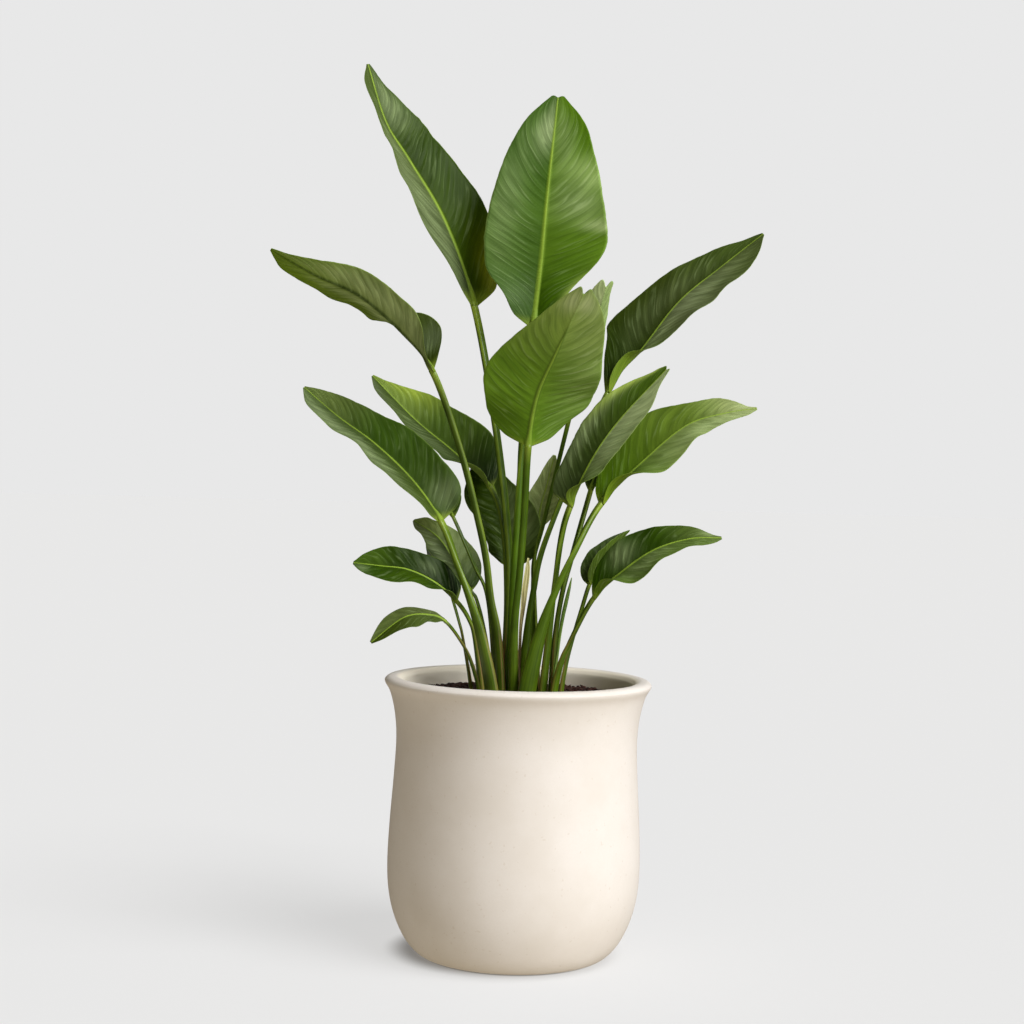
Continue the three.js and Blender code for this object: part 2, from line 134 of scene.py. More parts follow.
def value_at(stations: tuple[float, ...], values: tuple[float, ...], at: float) -> float:
    """Reads a smooth line through values that are given at rising stations.

    Args:
        stations: Places along the line, rising.
        values: One value for each place.
        at: The place to read.

    Returns:
        The value there.
    """
    last = len(stations) - 1
    i = max(k for k in range(last) if stations[k] <= at or k == 0)

    def slope(k: int) -> float:
        """Returns the slope of the line at one of its stations."""
        a, b = max(k - 1, 0), min(k + 1, last)
        return (values[b] - values[a]) / (stations[b] - stations[a])

    span = stations[i + 1] - stations[i]
    t = (at - stations[i]) / span
    base = values[i] * (1 + 2 * t) * (1 - t) ** 2 + values[i + 1] * t * t * (3 - 2 * t)
    return base + span * (slope(i) * t * (1 - t) ** 2 - slope(i + 1) * t * t * (1 - t))


class Curve:
    """A smooth curve through points, the same one that the part's drawing uses."""

    CHORDS = 60

    def __init__(self, points: list[Triple]) -> None:
        """Keeps the points, and mirrors the second and the last but one past the two ends.

        Args:
            points: What the curve goes through.
        """
        inner = [Vector(point) for point in points]
        before = inner[0] * 2 - inner[1]
        after = inner[-1] * 2 - inner[-2]
        self.points = [before, *inner, after]
        self.spans = len(inner) - 1

    def at(self, share: float) -> Vector:
        """Reads the curve.

        Args:
            share: The share of the curve, from 0 to 1.

        Returns:
            The point there.
        """
        place = min(max(share, 0.0), 1.0) * self.spans
        i = min(int(place), self.spans - 1)
        w = place - i
        a, b, c, d = self.points[i : i + 4]
        return (
            b * 2 + (c - a) * w + (a * 2 - b * 5 + c * 4 - d) * w * w + (b * 3 - a - c * 3 + d) * w**3
        ) * 0.5

    def heading(self, share: float) -> Vector:
        """Returns the direction of travel at a share of the curve."""
        step = 1e-4
        return (self.at(share + step) - self.at(share - step)).normalized()

    def length(self, start: float, end: float) -> float:
        """Returns the length between two shares of the curve."""
        points = [self.at(mix(start, end, k / self.CHORDS)) for k in range(self.CHORDS + 1)]
        return sum((b - a).length for a, b in zip(points, points[1:]))


# ---------------------------------------- shader writing


class Socket:
    """An output of a shader node on which arithmetic adds Math nodes."""

    def __init__(self, tree: "Shader", socket: bpy.types.NodeSocket) -> None:
        """Keeps the node tree and the output."""
        self.tree = tree
        self.socket = socket

    def _math(self, operation: str, *values: "Socket | float") -> "Socket":
        """Adds one Math node over the values and returns its result."""
        node = self.tree.node("ShaderNodeMath", {"operation": operation}, dict(enumerate(values)))
        return self.tree.out(node)

    def __add__(self, other: "Socket | float") -> "Socket":
        """Returns self + other."""
        return self._math("ADD", self, other)

    def __sub__(self, other: "Socket | float") -> "Socket":
        """Returns self - other."""
        return self._math("SUBTRACT", self, other)

    def __rsub__(self, other: float) -> "Socket":
        """Returns other - self."""
        return self._math("SUBTRACT", other, self)

    def __mul__(self, other: "Socket | float") -> "Socket":
        """Returns self * other."""
        return self._math("MULTIPLY", self, other)

    __radd__ = __add__
    __rmul__ = __mul__

    def __pow__(self, other: float) -> "Socket":
        """Returns self to a power."""
        return self._math("POWER", self, other)

    def absolute(self) -> "Socket":
        """Returns the value without its sign."""
        return self._math("ABSOLUTE", self)

    def sine(self) -> "Socket":
        """Returns the sine of the value."""
        return self._math("SINE", self)

    def step(self, low: float, high: float) -> "Socket":
        """Returns a smooth step from 0 at low to 1 at high."""
        inputs = {"Value": self, "From Min": low, "From Max": high, "To Min": 0.0, "To Max": 1.0}
        return self.tree.out(
            self.tree.node("ShaderNodeMapRange", {"interpolation_type": "SMOOTHSTEP"}, inputs)
        )


class Shader:
    """A node tree that is written in Python expressions."""

    def __init__(self, tree: bpy.types.NodeTree) -> None:
        """Takes over a node tree and empties it."""
        self.tree = tree
        self.tree.nodes.clear()

    def node(self, kind: str, settings: dict | None = None, inputs: dict | None = None) -> bpy.types.Node:
        """Adds a node.

        Args:
            kind: The type of the node.
            settings: Its own settings, which are set first.
            inputs: Values or links for its sockets, by name or number.

        Returns:
            The new node.
        """
        made = self.tree.nodes.new(kind)
        for key, value in (settings or {}).items():
            setattr(made, key, value)
        for key, value in (inputs or {}).items():
            if isinstance(value, Socket):
                self.tree.links.new(value.socket, made.inputs[key])
            else:
                made.inputs[key].default_value = value
        return made

    def out(self, node: bpy.types.Node, name: str | int = 0) -> Socket:
        """Returns an output of a node."""
        return Socket(self, node.outputs[name])

    def blend(self, share: Socket | float, first: object, second: object, kind: str = "MIX") -> Socket:
        """Mixes two colours.

        Args:
            share: How much of the second colour there is.
            first: A colour or a link to one.
            second: A colour or a link to one.
            kind: The Mix node's blend type.

        Returns:
            The mixed colour.
        """
        colours = [c if isinstance(c, Socket) else (*c, 1.0) for c in (first, second)]
        settings = {"data_type": "RGBA", "blend_type": kind}
        mixed = self.node("ShaderNodeMix", settings, {0: share, 6: colours[0], 7: colours[1]})
        return self.out(mixed, 2)

    def vector(self, x: Socket | float, y: Socket | float, z: Socket | float) -> Socket:
        """Returns three values as one vector."""
        return self.out(self.node("ShaderNodeCombineXYZ", None, {0: x, 1: y, 2: z}))

    def split(self, vector: Socket) -> list[Socket]:
        """Returns the three values of a vector."""
        node = self.node("ShaderNodeSeparateXYZ", None, {0: vector})
        return [self.out(node, k) for k in range(3)]

    def noise(self, where: Socket, scale: float = 1.0, detail: float = 2.0, rough: float = 0.5) -> Socket:
        """Returns a soft random pattern from 0 to 1 at a place."""
        inputs = {"Vector": where, "Scale": scale, "Detail": detail, "Roughness": rough}
        return self.out(self.node("ShaderNodeTexNoise", None, inputs))

    def place(self) -> Socket:
        """Returns the object's own coordinates."""
        return self.out(self.node("ShaderNodeTexCoord"), "Object")

    def attribute(self, name: str, kind: str) -> Socket:
        """Returns one of the mesh's attributes, as a Vector, Color, Alpha or Fac."""
        return self.out(self.node("ShaderNodeAttribute", {"attribute_name": name}), kind)

    def seen(self) -> Socket:
        """Returns 1 for what the camera sees itself and 0 for the light that is thrown on."""
        return self.out(self.node("ShaderNodeLightPath"), "Is Camera Ray")

    def bump(self, height: Socket, distance: float, strength: float) -> Socket:
        """Returns the normal of a surface with small heights on it."""
        inputs = {"Height": height, "Distance": distance, "Strength": strength}
        return self.out(self.node("ShaderNodeBump", None, inputs))

    def surface(self, inputs: dict) -> None:
        """Ends the tree in a Principled surface with these inputs."""
        body = self.node("ShaderNodeBsdfPrincipled", None, inputs)
        self.node("ShaderNodeOutputMaterial", None, {"Surface": self.out(body)})


# ---------------------------------------- finishes


class Sheet(IntEnum):
    """The faces of a blade, and the material slot that each of them takes."""

    UPPER = 0
    UNDER = 1
    EDGE = 2


@dataclass(frozen=True)
class Finish:
    """A named finish. Each kind of finish dresses a shader in its own way."""

    name: str

    def dress(self, shader: Shader) -> None:
        """Writes the surface into an empty shader."""
        raise NotImplementedError

    def build(self) -> bpy.types.Material:
        """Makes the material.

        Returns:
            The new material.
        """
        material = bpy.data.materials.new(self.name)
        material.use_nodes = True
        self.dress(Shader(material.node_tree))
        return material


@dataclass(frozen=True)
class ClayFinish(Finish):
    """Cream clay with a matte slip glaze: faint clouds, fine grain and a few warm specks.

    The wall above the soil is painted a little lighter inside, as painted light against the shade in the
    planter's mouth, where wall and rim say in metres.
    """

    name: str = "cream_clay"
    body: Triple = (227, 218, 206)
    cloud: Triple = (220, 210, 196)
    speck: Triple = (204, 188, 166)
    # painted light: the paler colour of the inner wall above the soil
    inside: Triple = (244, 232, 208)
    wall: Pair = (0.163, 0.156)
    rim: Pair = (0.328, 0.334)
    roughness: float = 0.44

    def dress(self, shader: Shader) -> None:
        """Writes the clay into a shader.

        Args:
            shader: The shader, which is empty.
        """
        place = shader.place()
        cloud = shader.noise(place, 9.0, 4.0, 0.6)
        grain = shader.noise(place, 420.0, 3.0, 0.6)
        specks = shader.noise(place, 190.0, 1.0).step(0.70, 0.76)
        colour = shader.blend(cloud.step(0.35, 0.7), linear(self.body), linear(self.cloud))
        colour = shader.blend(grain.step(0.3, 0.75) * 0.35, colour, linear(self.cloud))
        colour = shader.blend(specks * 0.35, colour, linear(self.speck))
        x, y, z = shader.split(place)
        # painted light on the inner wall above the soil
        painted_light_inside = ((x * x + y * y) ** 0.5).step(*self.wall) * z.step(*self.rim)
        height = grain * 0.5 + shader.noise(place, 60.0) * 1.2
        shader.surface({
            "Base Color": shader.blend(painted_light_inside, colour, linear(self.inside)),
            "Roughness": cloud * 0.12 + self.roughness,
            "Specular IOR Level": 0.35,
            "Normal": shader.bump(height, 0.0004, 0.25),
        })


@dataclass(frozen=True)
class SoilFinish(Finish):
    """Damp potting soil: dark reddish brown, with paler dry crumbs."""

    name: str = "potting_soil"
    damp: Triple = (32, 16, 11)
    dry: Triple = (74, 44, 32)

    def dress(self, shader: Shader) -> None:
        """Writes the soil into a shader.

        Args:
            shader: The shader, which is empty.
        """
        place = shader.place()
        lumps = shader.noise(place, 130.0, 4.0, 0.65)
        grit = shader.noise(place, 900.0)
        colour = shader.blend(lumps.step(0.35, 0.75), linear(self.damp), linear(self.dry))
        shader.surface({
            "Base Color": shader.blend(grit.step(0.6, 0.8) * 0.35, colour, linear(self.dry)),
            "Roughness": 0.95,
            "Specular IOR Level": 0.2,
            "Normal": shader.bump(lumps + grit * 0.4, 0.002, 0.6),
        })


@dataclass(frozen=True)
class BladeFinish(Finish):
    """One face of a leaf blade. Its greens come from the mesh, and the veins are drawn along it.

    The mesh's grain holds how far out from the midrib a point is, from -1 to 1, its place along the
    veins in metres, and its share of the blade. Its tint holds the green, and the midrib in alpha,
    and its sheen how much painted sheen it has there. The painted sheen is pale streaks of painted
    reflected light on the crests between the veins, which are spacing metres apart.
    """

    rib: Triple
    # painted shade on the midrib's sides; rib is the colour of its paler crest
    rib_side_shade: Triple
    margin: Triple
    roughness: float
    gloss: float
    contrast: float
    relief: float
    ribbing: float = 0.9
    lines: float = 0.6
    spacing: float = 0.0112
    deep: Triple = (0.62, 0.62, 0.4)
    bright: Triple = (1.56, 1.42, 1.25)
    # the colour of the painted sheen, a painted highlight
    painted_sheen: Triple = (176, 196, 132)

    def dress(self, shader: Shader) -> None:
        """Writes the leaf into a shader.

        Args:
            shader: The shader, which is empty.
        """
        reach, vein, along = shader.split(shader.attribute("grain", "Vector"))
        tint, rib = shader.attribute("tint", "Color"), shader.attribute("tint", "Alpha")
        sheen = shader.attribute("sheen", "Fac")
        fine = shader.noise(shader.vector(reach * 2.2, vein * 520.0, along))
        broad = shader.noise(shader.vector(reach * 1.4, vein * 105.0, along), detail=1.0)
        blotch = shader.noise(shader.place(), 14.0, 3.0)
        some = shader.noise(shader.vector(reach * 2.4, vein * 58.0, along + 5.0)).step(0.35, 0.7)
        wave = vein * (2 * math.pi / self.spacing) + broad * 13.0
        line = (wave.sine() * 0.5 + 0.5) ** 7.0 * some
        groove = ((wave + 1.5).sine() * 0.5 + 0.5) ** 3.0
        out = reach.absolute()
        body = out.step(0.06, 0.35) * out.step(1.0, 0.8)
        shade = broad * 0.45 + fine * 0.25 + blotch * 0.3
        low = shader.blend(self.contrast, tint, self.deep, "MULTIPLY")
        high = shader.blend(self.contrast, tint, self.bright, "MULTIPLY")
        colour = shader.blend(shade.step(0.28, 0.72), low, high)
        colour = shader.blend(groove * body * self.lines, colour, low)
        # pale lines along the veins in the painted sheen's colour: partly the veins' own paler colour and
        # partly painted glints on the ridges
        colour = shader.blend(line * body * (0.24 * self.lines), colour, linear(self.painted_sheen))
        # painted sheen: pale streaks of painted reflected light on the crests, as strong as the mesh's
        # sheen says
        crest = (line * 0.4 + fine * 0.35 + broad * 0.8).step(0.3, 1.1)
        colour = shader.blend(sheen * crest * 0.68, colour, linear(self.painted_sheen))
        colour = shader.blend(out.step(0.975, 0.995) * 0.4, colour, linear(self.margin))
        ridge = shader.noise(shader.vector(reach * 900.0, along * 9.0, 0.0), detail=1.0)
        # the midrib: its own paler colour on the crest and painted shade on its sides
        stem = shader.blend(rib.step(0.62, 0.93), linear(self.rib_side_shade), linear(self.rib))
        stem = shader.blend(ridge.step(0.2, 0.8) * 0.3, stem, tint)
        height = fine * 0.3 + broad * 0.8 + line * 0.3
        shader.surface({
            "Base Color": shader.blend(rib.step(0.1, 0.7) * self.ribbing, colour, stem),
            "Roughness": fine * 0.1 + broad * 0.1 + self.roughness,
            "Specular IOR Level": self.gloss,
            "Specular Tint": (0.9, 1.0, 0.6, 1.0),
            "Normal": shader.bump(height, self.relief, 0.5),
        })


@dataclass(frozen=True)
class StalkFinish(Finish):
    """A leaf stalk: smooth green with faint lengthwise streaks and brown margins near the soil."""

    name: str = "leaf_stalk"
    margin: Triple = (146, 104, 58)
    roughness: float = 0.31
    deep: Triple = (0.6, 0.64, 0.55)
    bright: Triple = (1.55, 1.45, 1.3)

    def dress(self, shader: Shader) -> None:
        """Writes the stalk into a shader.

        Args:
            shader: The shader, which is empty.
        """
        around, along, _ = shader.split(shader.attribute("grain", "Vector"))
        tint, brown = shader.attribute("tint", "Color"), shader.attribute("tint", "Alpha")
        streak = shader.noise(shader.vector(around * 16.0, along * 14.0, 0.0), detail=3.0)
        patch = shader.noise(shader.place(), 34.0)
        low = shader.blend(0.8, tint, self.deep, "MULTIPLY")
        high = shader.blend(0.8, tint, self.bright, "MULTIPLY")
        colour = shader.blend((streak * 0.6 + patch * 0.4).step(0.3, 0.7), low, high)
        worn = (brown + (streak - 0.5) * 0.7).step(0.35, 0.75)
        shader.surface({
            "Base Color": shader.blend(worn, colour, linear(self.margin)),
            "Roughness": streak * 0.1 + worn * 0.2 + self.roughness,
            "Specular IOR Level": 0.3,
            "Coat Weight": 0.06,
            "Coat Roughness": 0.3,
            "Normal": shader.bump(streak, 0.0004, 0.35),
        })


@dataclass(frozen=True)
class DryFinish(Finish):
    """A dried leaf sheath with fibres along it, straw-coloured towards its top and browner towards the
    soil.
    """

    name: str = "dry_sheath"
    straw: Triple = (196, 188, 124)
    brown: Triple = (104, 86, 40)

    def dress(self, shader: Shader) -> None:
        """Writes the dry fibres into a shader.

        Args:
            shader: The shader, which is empty.
        """
        around, along, _ = shader.split(shader.attribute("grain", "Vector"))
        fibre = shader.noise(shader.vector(around * 40.0, along * 12.0, 0.0), detail=3.0)
        patch = shader.noise(shader.vector(around * 3.0, along * 30.0, 2.0))
        share = (fibre * 0.5 + patch * 0.5 + 0.3 - along * 2.4).step(0.25, 0.6)
        shader.surface({
            "Base Color": shader.blend(share, linear(self.straw), linear(self.brown)),
            "Roughness": 0.75,
            "Normal": shader.bump(fibre, 0.0006, 0.6),
        })


@dataclass(frozen=True)
class FloorFinish(Finish):
    """The plain pale floor, which glows so that the shadow on it stays light.

    Close round the planter's foot the glow that the camera sees is darkened into a painted contact
    shadow, which fades out over two runs of metres from two middles, and the light that it throws
    back on the plant is warmer than the floor looks.
    """

    name: str = "pale_floor"
    albedo: float = 0.25
    glow: float = 0.607
    thrown: Triple = (0.82, 0.73, 0.58)
    middle: Pair = (-0.025, 0.015)
    painted_shadow_ring: Pair = (0.108, 0.150)
    gap: Pair = (0.113, 0.121)

    def dress(self, shader: Shader) -> None:
        """Writes the floor into a shader.

        Args:
            shader: The shader, which is empty.
        """
        x, y, _ = shader.split(shader.place())
        near = (x * x + y * y) ** 0.5
        aside = ((x - self.middle[0]) ** 2.0 + (y - self.middle[1]) ** 2.0) ** 0.5
        # painted contact shadow: the glow is darkened close round the foot, offset under the belly, with
        # a thin dark line under the foot
        light = (aside.step(*self.painted_shadow_ring) * 0.75 + 0.25) * (near.step(*self.gap) * 0.7 + 0.3)
        colour = shader.blend(light, (0.0, 0.0, 0.0), (1.0, 1.0, 1.0))
        shader.surface({
            "Base Color": (self.albedo, self.albedo, self.albedo, 1.0),
            "Roughness": 1.0,
            "Specular IOR Level": 0.0,
            "Emission Color": shader.blend(shader.seen(), self.thrown, colour),
            "Emission Strength": self.glow,
        })


# ---------------------------------------- making pieces


def in_scene(name: str, data: bpy.types.ID) -> bpy.types.Object:
    """Makes an object of a mesh, a light or a camera.

    Args:
        name: The object's name.
        data: What it holds.

    Returns:
        The object, which is in the scene.
    """
    made = bpy.data.objects.new(name, data)
    bpy.context.scene.collection.objects.link(made)
    return made


def finish_piece(
    bm: bmesh.types.BMesh,
    name: str,
    materials: list[bpy.types.Material],
    slot: str,
    *stands_for: str,
    flat: bool = False,
) -> bpy.types.Object:
    """Turns a bmesh into a dressed piece that rides on the part.

    Args:
        bm: The shape, which is freed.
        name: Name of the piece.
        materials: Its materials, in the order of their slots.
        slot: The record's material slot; not used.
        stands_for: The frame's nodes that it replaces.
        flat: Whether its faces are shaded flat.

    Returns:
        The new object.
    """
    for face in bm.faces:
        face.smooth = not flat
    mesh = bpy.data.meshes.new(name)
    bm.to_mesh(mesh)
    bm.free()
    for material in materials:
        mesh.materials.append(material)
    piece = in_scene(name, mesh)
    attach(piece, BODY)
    if stands_for:
        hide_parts(*stands_for)
    LOG.info("%s: %d faces", name, len(mesh.polygons))
    return piece


def turned(profile: list[Pair], steps: int) -> bmesh.types.BMesh:
    """Spins a profile about the upright axis into a closed shape.

    Args:
        profile: Pairs of radius and height in metres, from one end on the axis to the other.
        steps: How many steps there are in a full turn.

    Returns:
        The shape.
    """
    bm = bmesh.new()
    verts = [bm.verts.new((radius, 0.0, height)) for radius, height in profile]
    edges = [bm.edges.new(pair) for pair in zip(verts, verts[1:])]
    bmesh.ops.spin(
        bm, geom=[*verts, *edges], cent=(0.0, 0.0, 0.0), axis=UP, angle=2 * math.pi, steps=steps,
        use_merge=True,
    )
    bmesh.ops.remove_doubles(bm, verts=bm.verts[:], dist=1e-6)
    bmesh.ops.recalc_face_normals(bm, faces=bm.faces[:])
    return bm


def tube(segments: int, rings: int) -> bmesh.types.BMesh:
    """Makes a closed rod of radius 1 from -1 to 1 along Z.

    Args:
        segments: How many sides it has.
        rings: How many lengths it is split into.

    Returns:
        The rod.
    """
    bm = bmesh.new()
    bmesh.ops.create_cone(bm, cap_ends=True, segments=segments, radius1=1.0, radius2=1.0, depth=2.0)
    sides = [edge for edge in bm.edges if abs(edge.verts[0].co.z - edge.verts[1].co.z) > 1.0]
    bmesh.ops.subdivide_edges(bm, edges=sides, cuts=rings - 1, use_grid_fill=True)
    return bm


# ---------------------------------------- planter and soil


@dataclass
class Planter:
    """The turned planter, in millimetres: a flat foot, a full belly, a waist and a flared lip."""

    foot: tuple[Pair, ...] = ((0, 0), (60, 0), (106, 0), (112.6, 0.3))
    outside: tuple[Pair, ...] = (
        (116.5, 1.6), (128, 5.5), (143, 22), (156, 49), (164, 80), (166.8, 118), (165.2, 170),
        (161, 235), (159, 284), (162, 318), (168.5, 344), (175.5, 357),
    )
    lip: tuple[Pair, ...] = ((175, 361.5), (170, 364.6), (161, 365), (154, 361))
    inside: tuple[Pair, ...] = (
        (150.5, 350), (149, 300), (152, 205), (154, 150), (152, 100), (140, 52), (112, 22), (80, 14),
    )
    steps: int = 160
    splits: int = 6

    def profile(self) -> list[Pair]:
        """Draws the whole outline, with smooth steps between the given points.

        Returns:
            Pairs of radius and height in metres.
        """
        bends = (*self.outside, *self.lip, *self.inside)
        curve = Curve([(radius, 0.0, height) for radius, height in bends])
        count = curve.spans * self.splits
        wall = [curve.at(k / count) for k in range(count + 1)]
        points = [*self.foot, *[(point.x, point.z) for point in wall], (0, self.inside[-1][1])]
        return [(radius * MM, height * MM) for radius, height in points]

    def build(self) -> bpy.types.Object:
        """Makes the planter and returns it."""
        bm = turned(self.profile(), self.steps)
        return finish_piece(bm, "planter_wall", [ClayFinish().build()], "planter_clay", "planter")


@dataclass
class Soil:
    """The soil, in millimetres: a lumpy bed inside the planter's wall, with crumbs lying on it."""

    top: float = 341.0
    gap: float = 0.4
    wall: tuple[Pair, ...] = (
        (79.6, 14.4), (111.6, 22.4), (139.6, 52.4), (151.6, 100.4), (153.6, 150.4), (151.6, 205.4),
        (148.6, 300.4), (149.4, 338),
    )
    reach: float = 149.6
    ring: float = 2.6
    steps: int = 200
    lump: float = 2.4
    crumbs: int = 1500
    bark: int = 260
    crumb_size: Pair = (0.9, 2.6)
    crumb_long: Pair = (1.0, 1.6)
    bark_long: Pair = (2.2, 4.2)
    uneven: float = 0.25
    seed: int = 7

    def height(self, x: float, y: float) -> float:
        """Reads the top of the soil, in millimetres.

        Args:
            x: Place to the right.
            y: Place to the back.

        Returns:
            The height there.
        """
        rolling = math.sin(x / 11) * math.cos(y / 13) + 0.6 * math.sin((x + y) / 7)
        lumps = noise.fractal(Vector((x, y, 0.0)) / 9.0, 0.7, 2.1, 4)
        return self.top + 0.8 * rolling + self.lump * lumps

    def bed(self, material: bpy.types.Material) -> bpy.types.Object:
        """Makes the bed of soil.

        Args:
            material: Its finish.

        Returns:
            The bed.
        """
        rings = int(self.reach / self.ring)
        top = [(self.reach * (1 - k / rings), self.top) for k in range(rings + 1)]
        outline = [(0.0, self.wall[0][1]), *self.wall, *top]
        bm = turned([(radius * MM, height * MM) for radius, height in outline], self.steps)
        for vert in bm.verts:
            if vert.co.z > (self.top - 0.01) * MM:
                vert.co.z = self.height(vert.co.x / MM, vert.co.y / MM) * MM
        return finish_piece(bm, "soil_bed", [material], "potting_soil", "soil")

    def loose(self, material: bpy.types.Material) -> bpy.types.Object:
        """Scatters crumbs and slivers of bark on the bed.

        Args:
            material: Their finish.

        Returns:
            All of them as one piece.
        """
        draw = random.Random(self.seed)
        bm = bmesh.new()
        for k in range(self.crumbs + self.bark):
            far = (self.reach - 4) * math.sqrt(draw.random())
            angle = draw.uniform(0, 2 * math.pi)
            x, y = far * math.cos(angle), far * math.sin(angle)
            size = draw.uniform(*self.crumb_size)
            long = draw.uniform(*(self.crumb_long if k < self.crumbs else self.bark_long))
            scale = Matrix.Diagonal((size * long, size, size * draw.uniform(0.5, 0.9), 1.0))
            turn = Euler((draw.uniform(-0.5, 0.5), draw.uniform(-0.5, 0.5), draw.uniform(0, 6.3)))
            place = Matrix.Translation((x, y, self.height(x, y) + size * self.uneven))
            matrix = Matrix.Scale(MM, 4) @ place @ turn.to_matrix().to_4x4() @ scale
            made = bmesh.ops.create_icosphere(bm, subdivisions=1, radius=1.0, matrix=matrix)
            for vert in made["verts"]:
                shift = [draw.uniform(-self.uneven, self.uneven) * size * MM for _ in range(3)]
                vert.co += Vector(shift)
        return finish_piece(bm, "soil_crumbs", [material], "potting_soil", flat=True)

    def build(self) -> list[bpy.types.Object]:
        """Makes the soil and returns its pieces."""
        material = SoilFinish().build()
        return [self.bed(material), self.loose(material)]


# ---------------------------------------- a leaf


def even(*colour: float) -> Shades:
    """Returns one green for the base, the middle and the tip."""
    return (colour, colour, colour)


@dataclass(frozen=True)
class Tone:
    """The greens of one leaf, as sRGB bytes.

    left and right are the halves of the upper face and under is the lower face, each at the base,
    in the middle and at the tip. base, stalk and collar go up the stalk to the blade. The greens of
    the blade hold painted light and shade as well as the leaf's own colour: a half in shade is
    painted darker, and one that shows a sheen paler and greyer.
    """

    left: Shades
    right: Shades
    under: Shades
    collar: Triple = (138, 160, 52)
    stalk: Triple = (62, 86, 5)
    base: Triple = (80, 104, 8)

    def at(self, hand: int, side: int, v: float) -> Triple:
        """Reads the greens of the blade.

        Args:
            hand: 0 for the left half and 1 for the right one.
            side: 1 for the upper face and -1 for the lower one.
            v: The share of the blade.

        Returns:
            The green there, as linear light.
        """
        low, middle, high = (self.left, self.right)[hand] if side > 0 else self.under
        if v < 0.5:
            return blended(linear(low), linear(middle), smooth(0.05, 0.5, v))
        return blended(linear(middle), linear(high), smooth(0.5, 0.92, v))


@dataclass(frozen=True)
class PaintedLightAndColourPatch:
    """A patch painted on a half of a blade. Most are painted sheen: pale streaks of painted reflected
    light. A few dark ones are painted shade, as on a keel in shade, and some give the leaf's own
    colour, such as a curled margin that shows the paler lower face.

    station and reach are its middle, as shares of the blade's length and of the half's width, long
    and wide are how far it spreads from there, share is its strength, and body is how much of it
    colours the leaf's green itself and not only the painted sheen.
    """

    hand: int
    station: float
    reach: float
    long: float
    wide: float
    share: float
    under: bool = False
    colour: Triple = (176, 190, 150)
    body: float = 0.4

    def at(self, v: float, reach: float) -> float:
        """Returns the strength of the patch at a place of its half."""
        return self.share * bell(self.station, self.long, v) * bell(self.reach, self.wide, reach)


@dataclass(frozen=True)
class Leaf:
    """One leaf, in millimetres and degrees, from the soil to its tip.

    root is where the stalk leaves the soil, stalk and rib are points that it passes through, and
    sheath is the stalk's half width and half depth at the soil and its half width at the blade.
    clasp is the height above the soil at which the sheath ends, and midrib a half width. turn and
    fold are read at the blade's base and over the rest, where settle says for each half in which
    share of the blade the fold changes, and left and right at STATIONS. tip is the width of each
    half at its end, and how far its corner reaches past the midrib. slim is how narrow the midrib
    looks, with its pale crest between painted shade on its sides, and keel how much of these the
    midrib shows on the lower face.
    """

    name: str
    root: Pair
    stalk: tuple[Triple, ...]
    rib: tuple[Triple, ...]
    sheath: Triple
    turn: Pair
    left: tuple[float, ...]
    right: tuple[float, ...]
    fold: tuple[Pair, Pair]
    wave: Pair
    tone: Tone
    curl: Pair = (8.0, 8.0)
    clasp: float = 140.0
    midrib: float = 2.2
    settle: tuple[Pair, Pair] = ((0.03, 0.32), (0.03, 0.32))
    tip: Pair = (1.5, 0.0)
    light_and_colour_patches: tuple[PaintedLightAndColourPatch, ...] = ()
    slim: float = 0.95
    keel: float = 1.0


STATIONS = (0, 0.04, 0.12, 0.25, 0.4, 0.55, 0.7, 0.82, 0.92, 1)
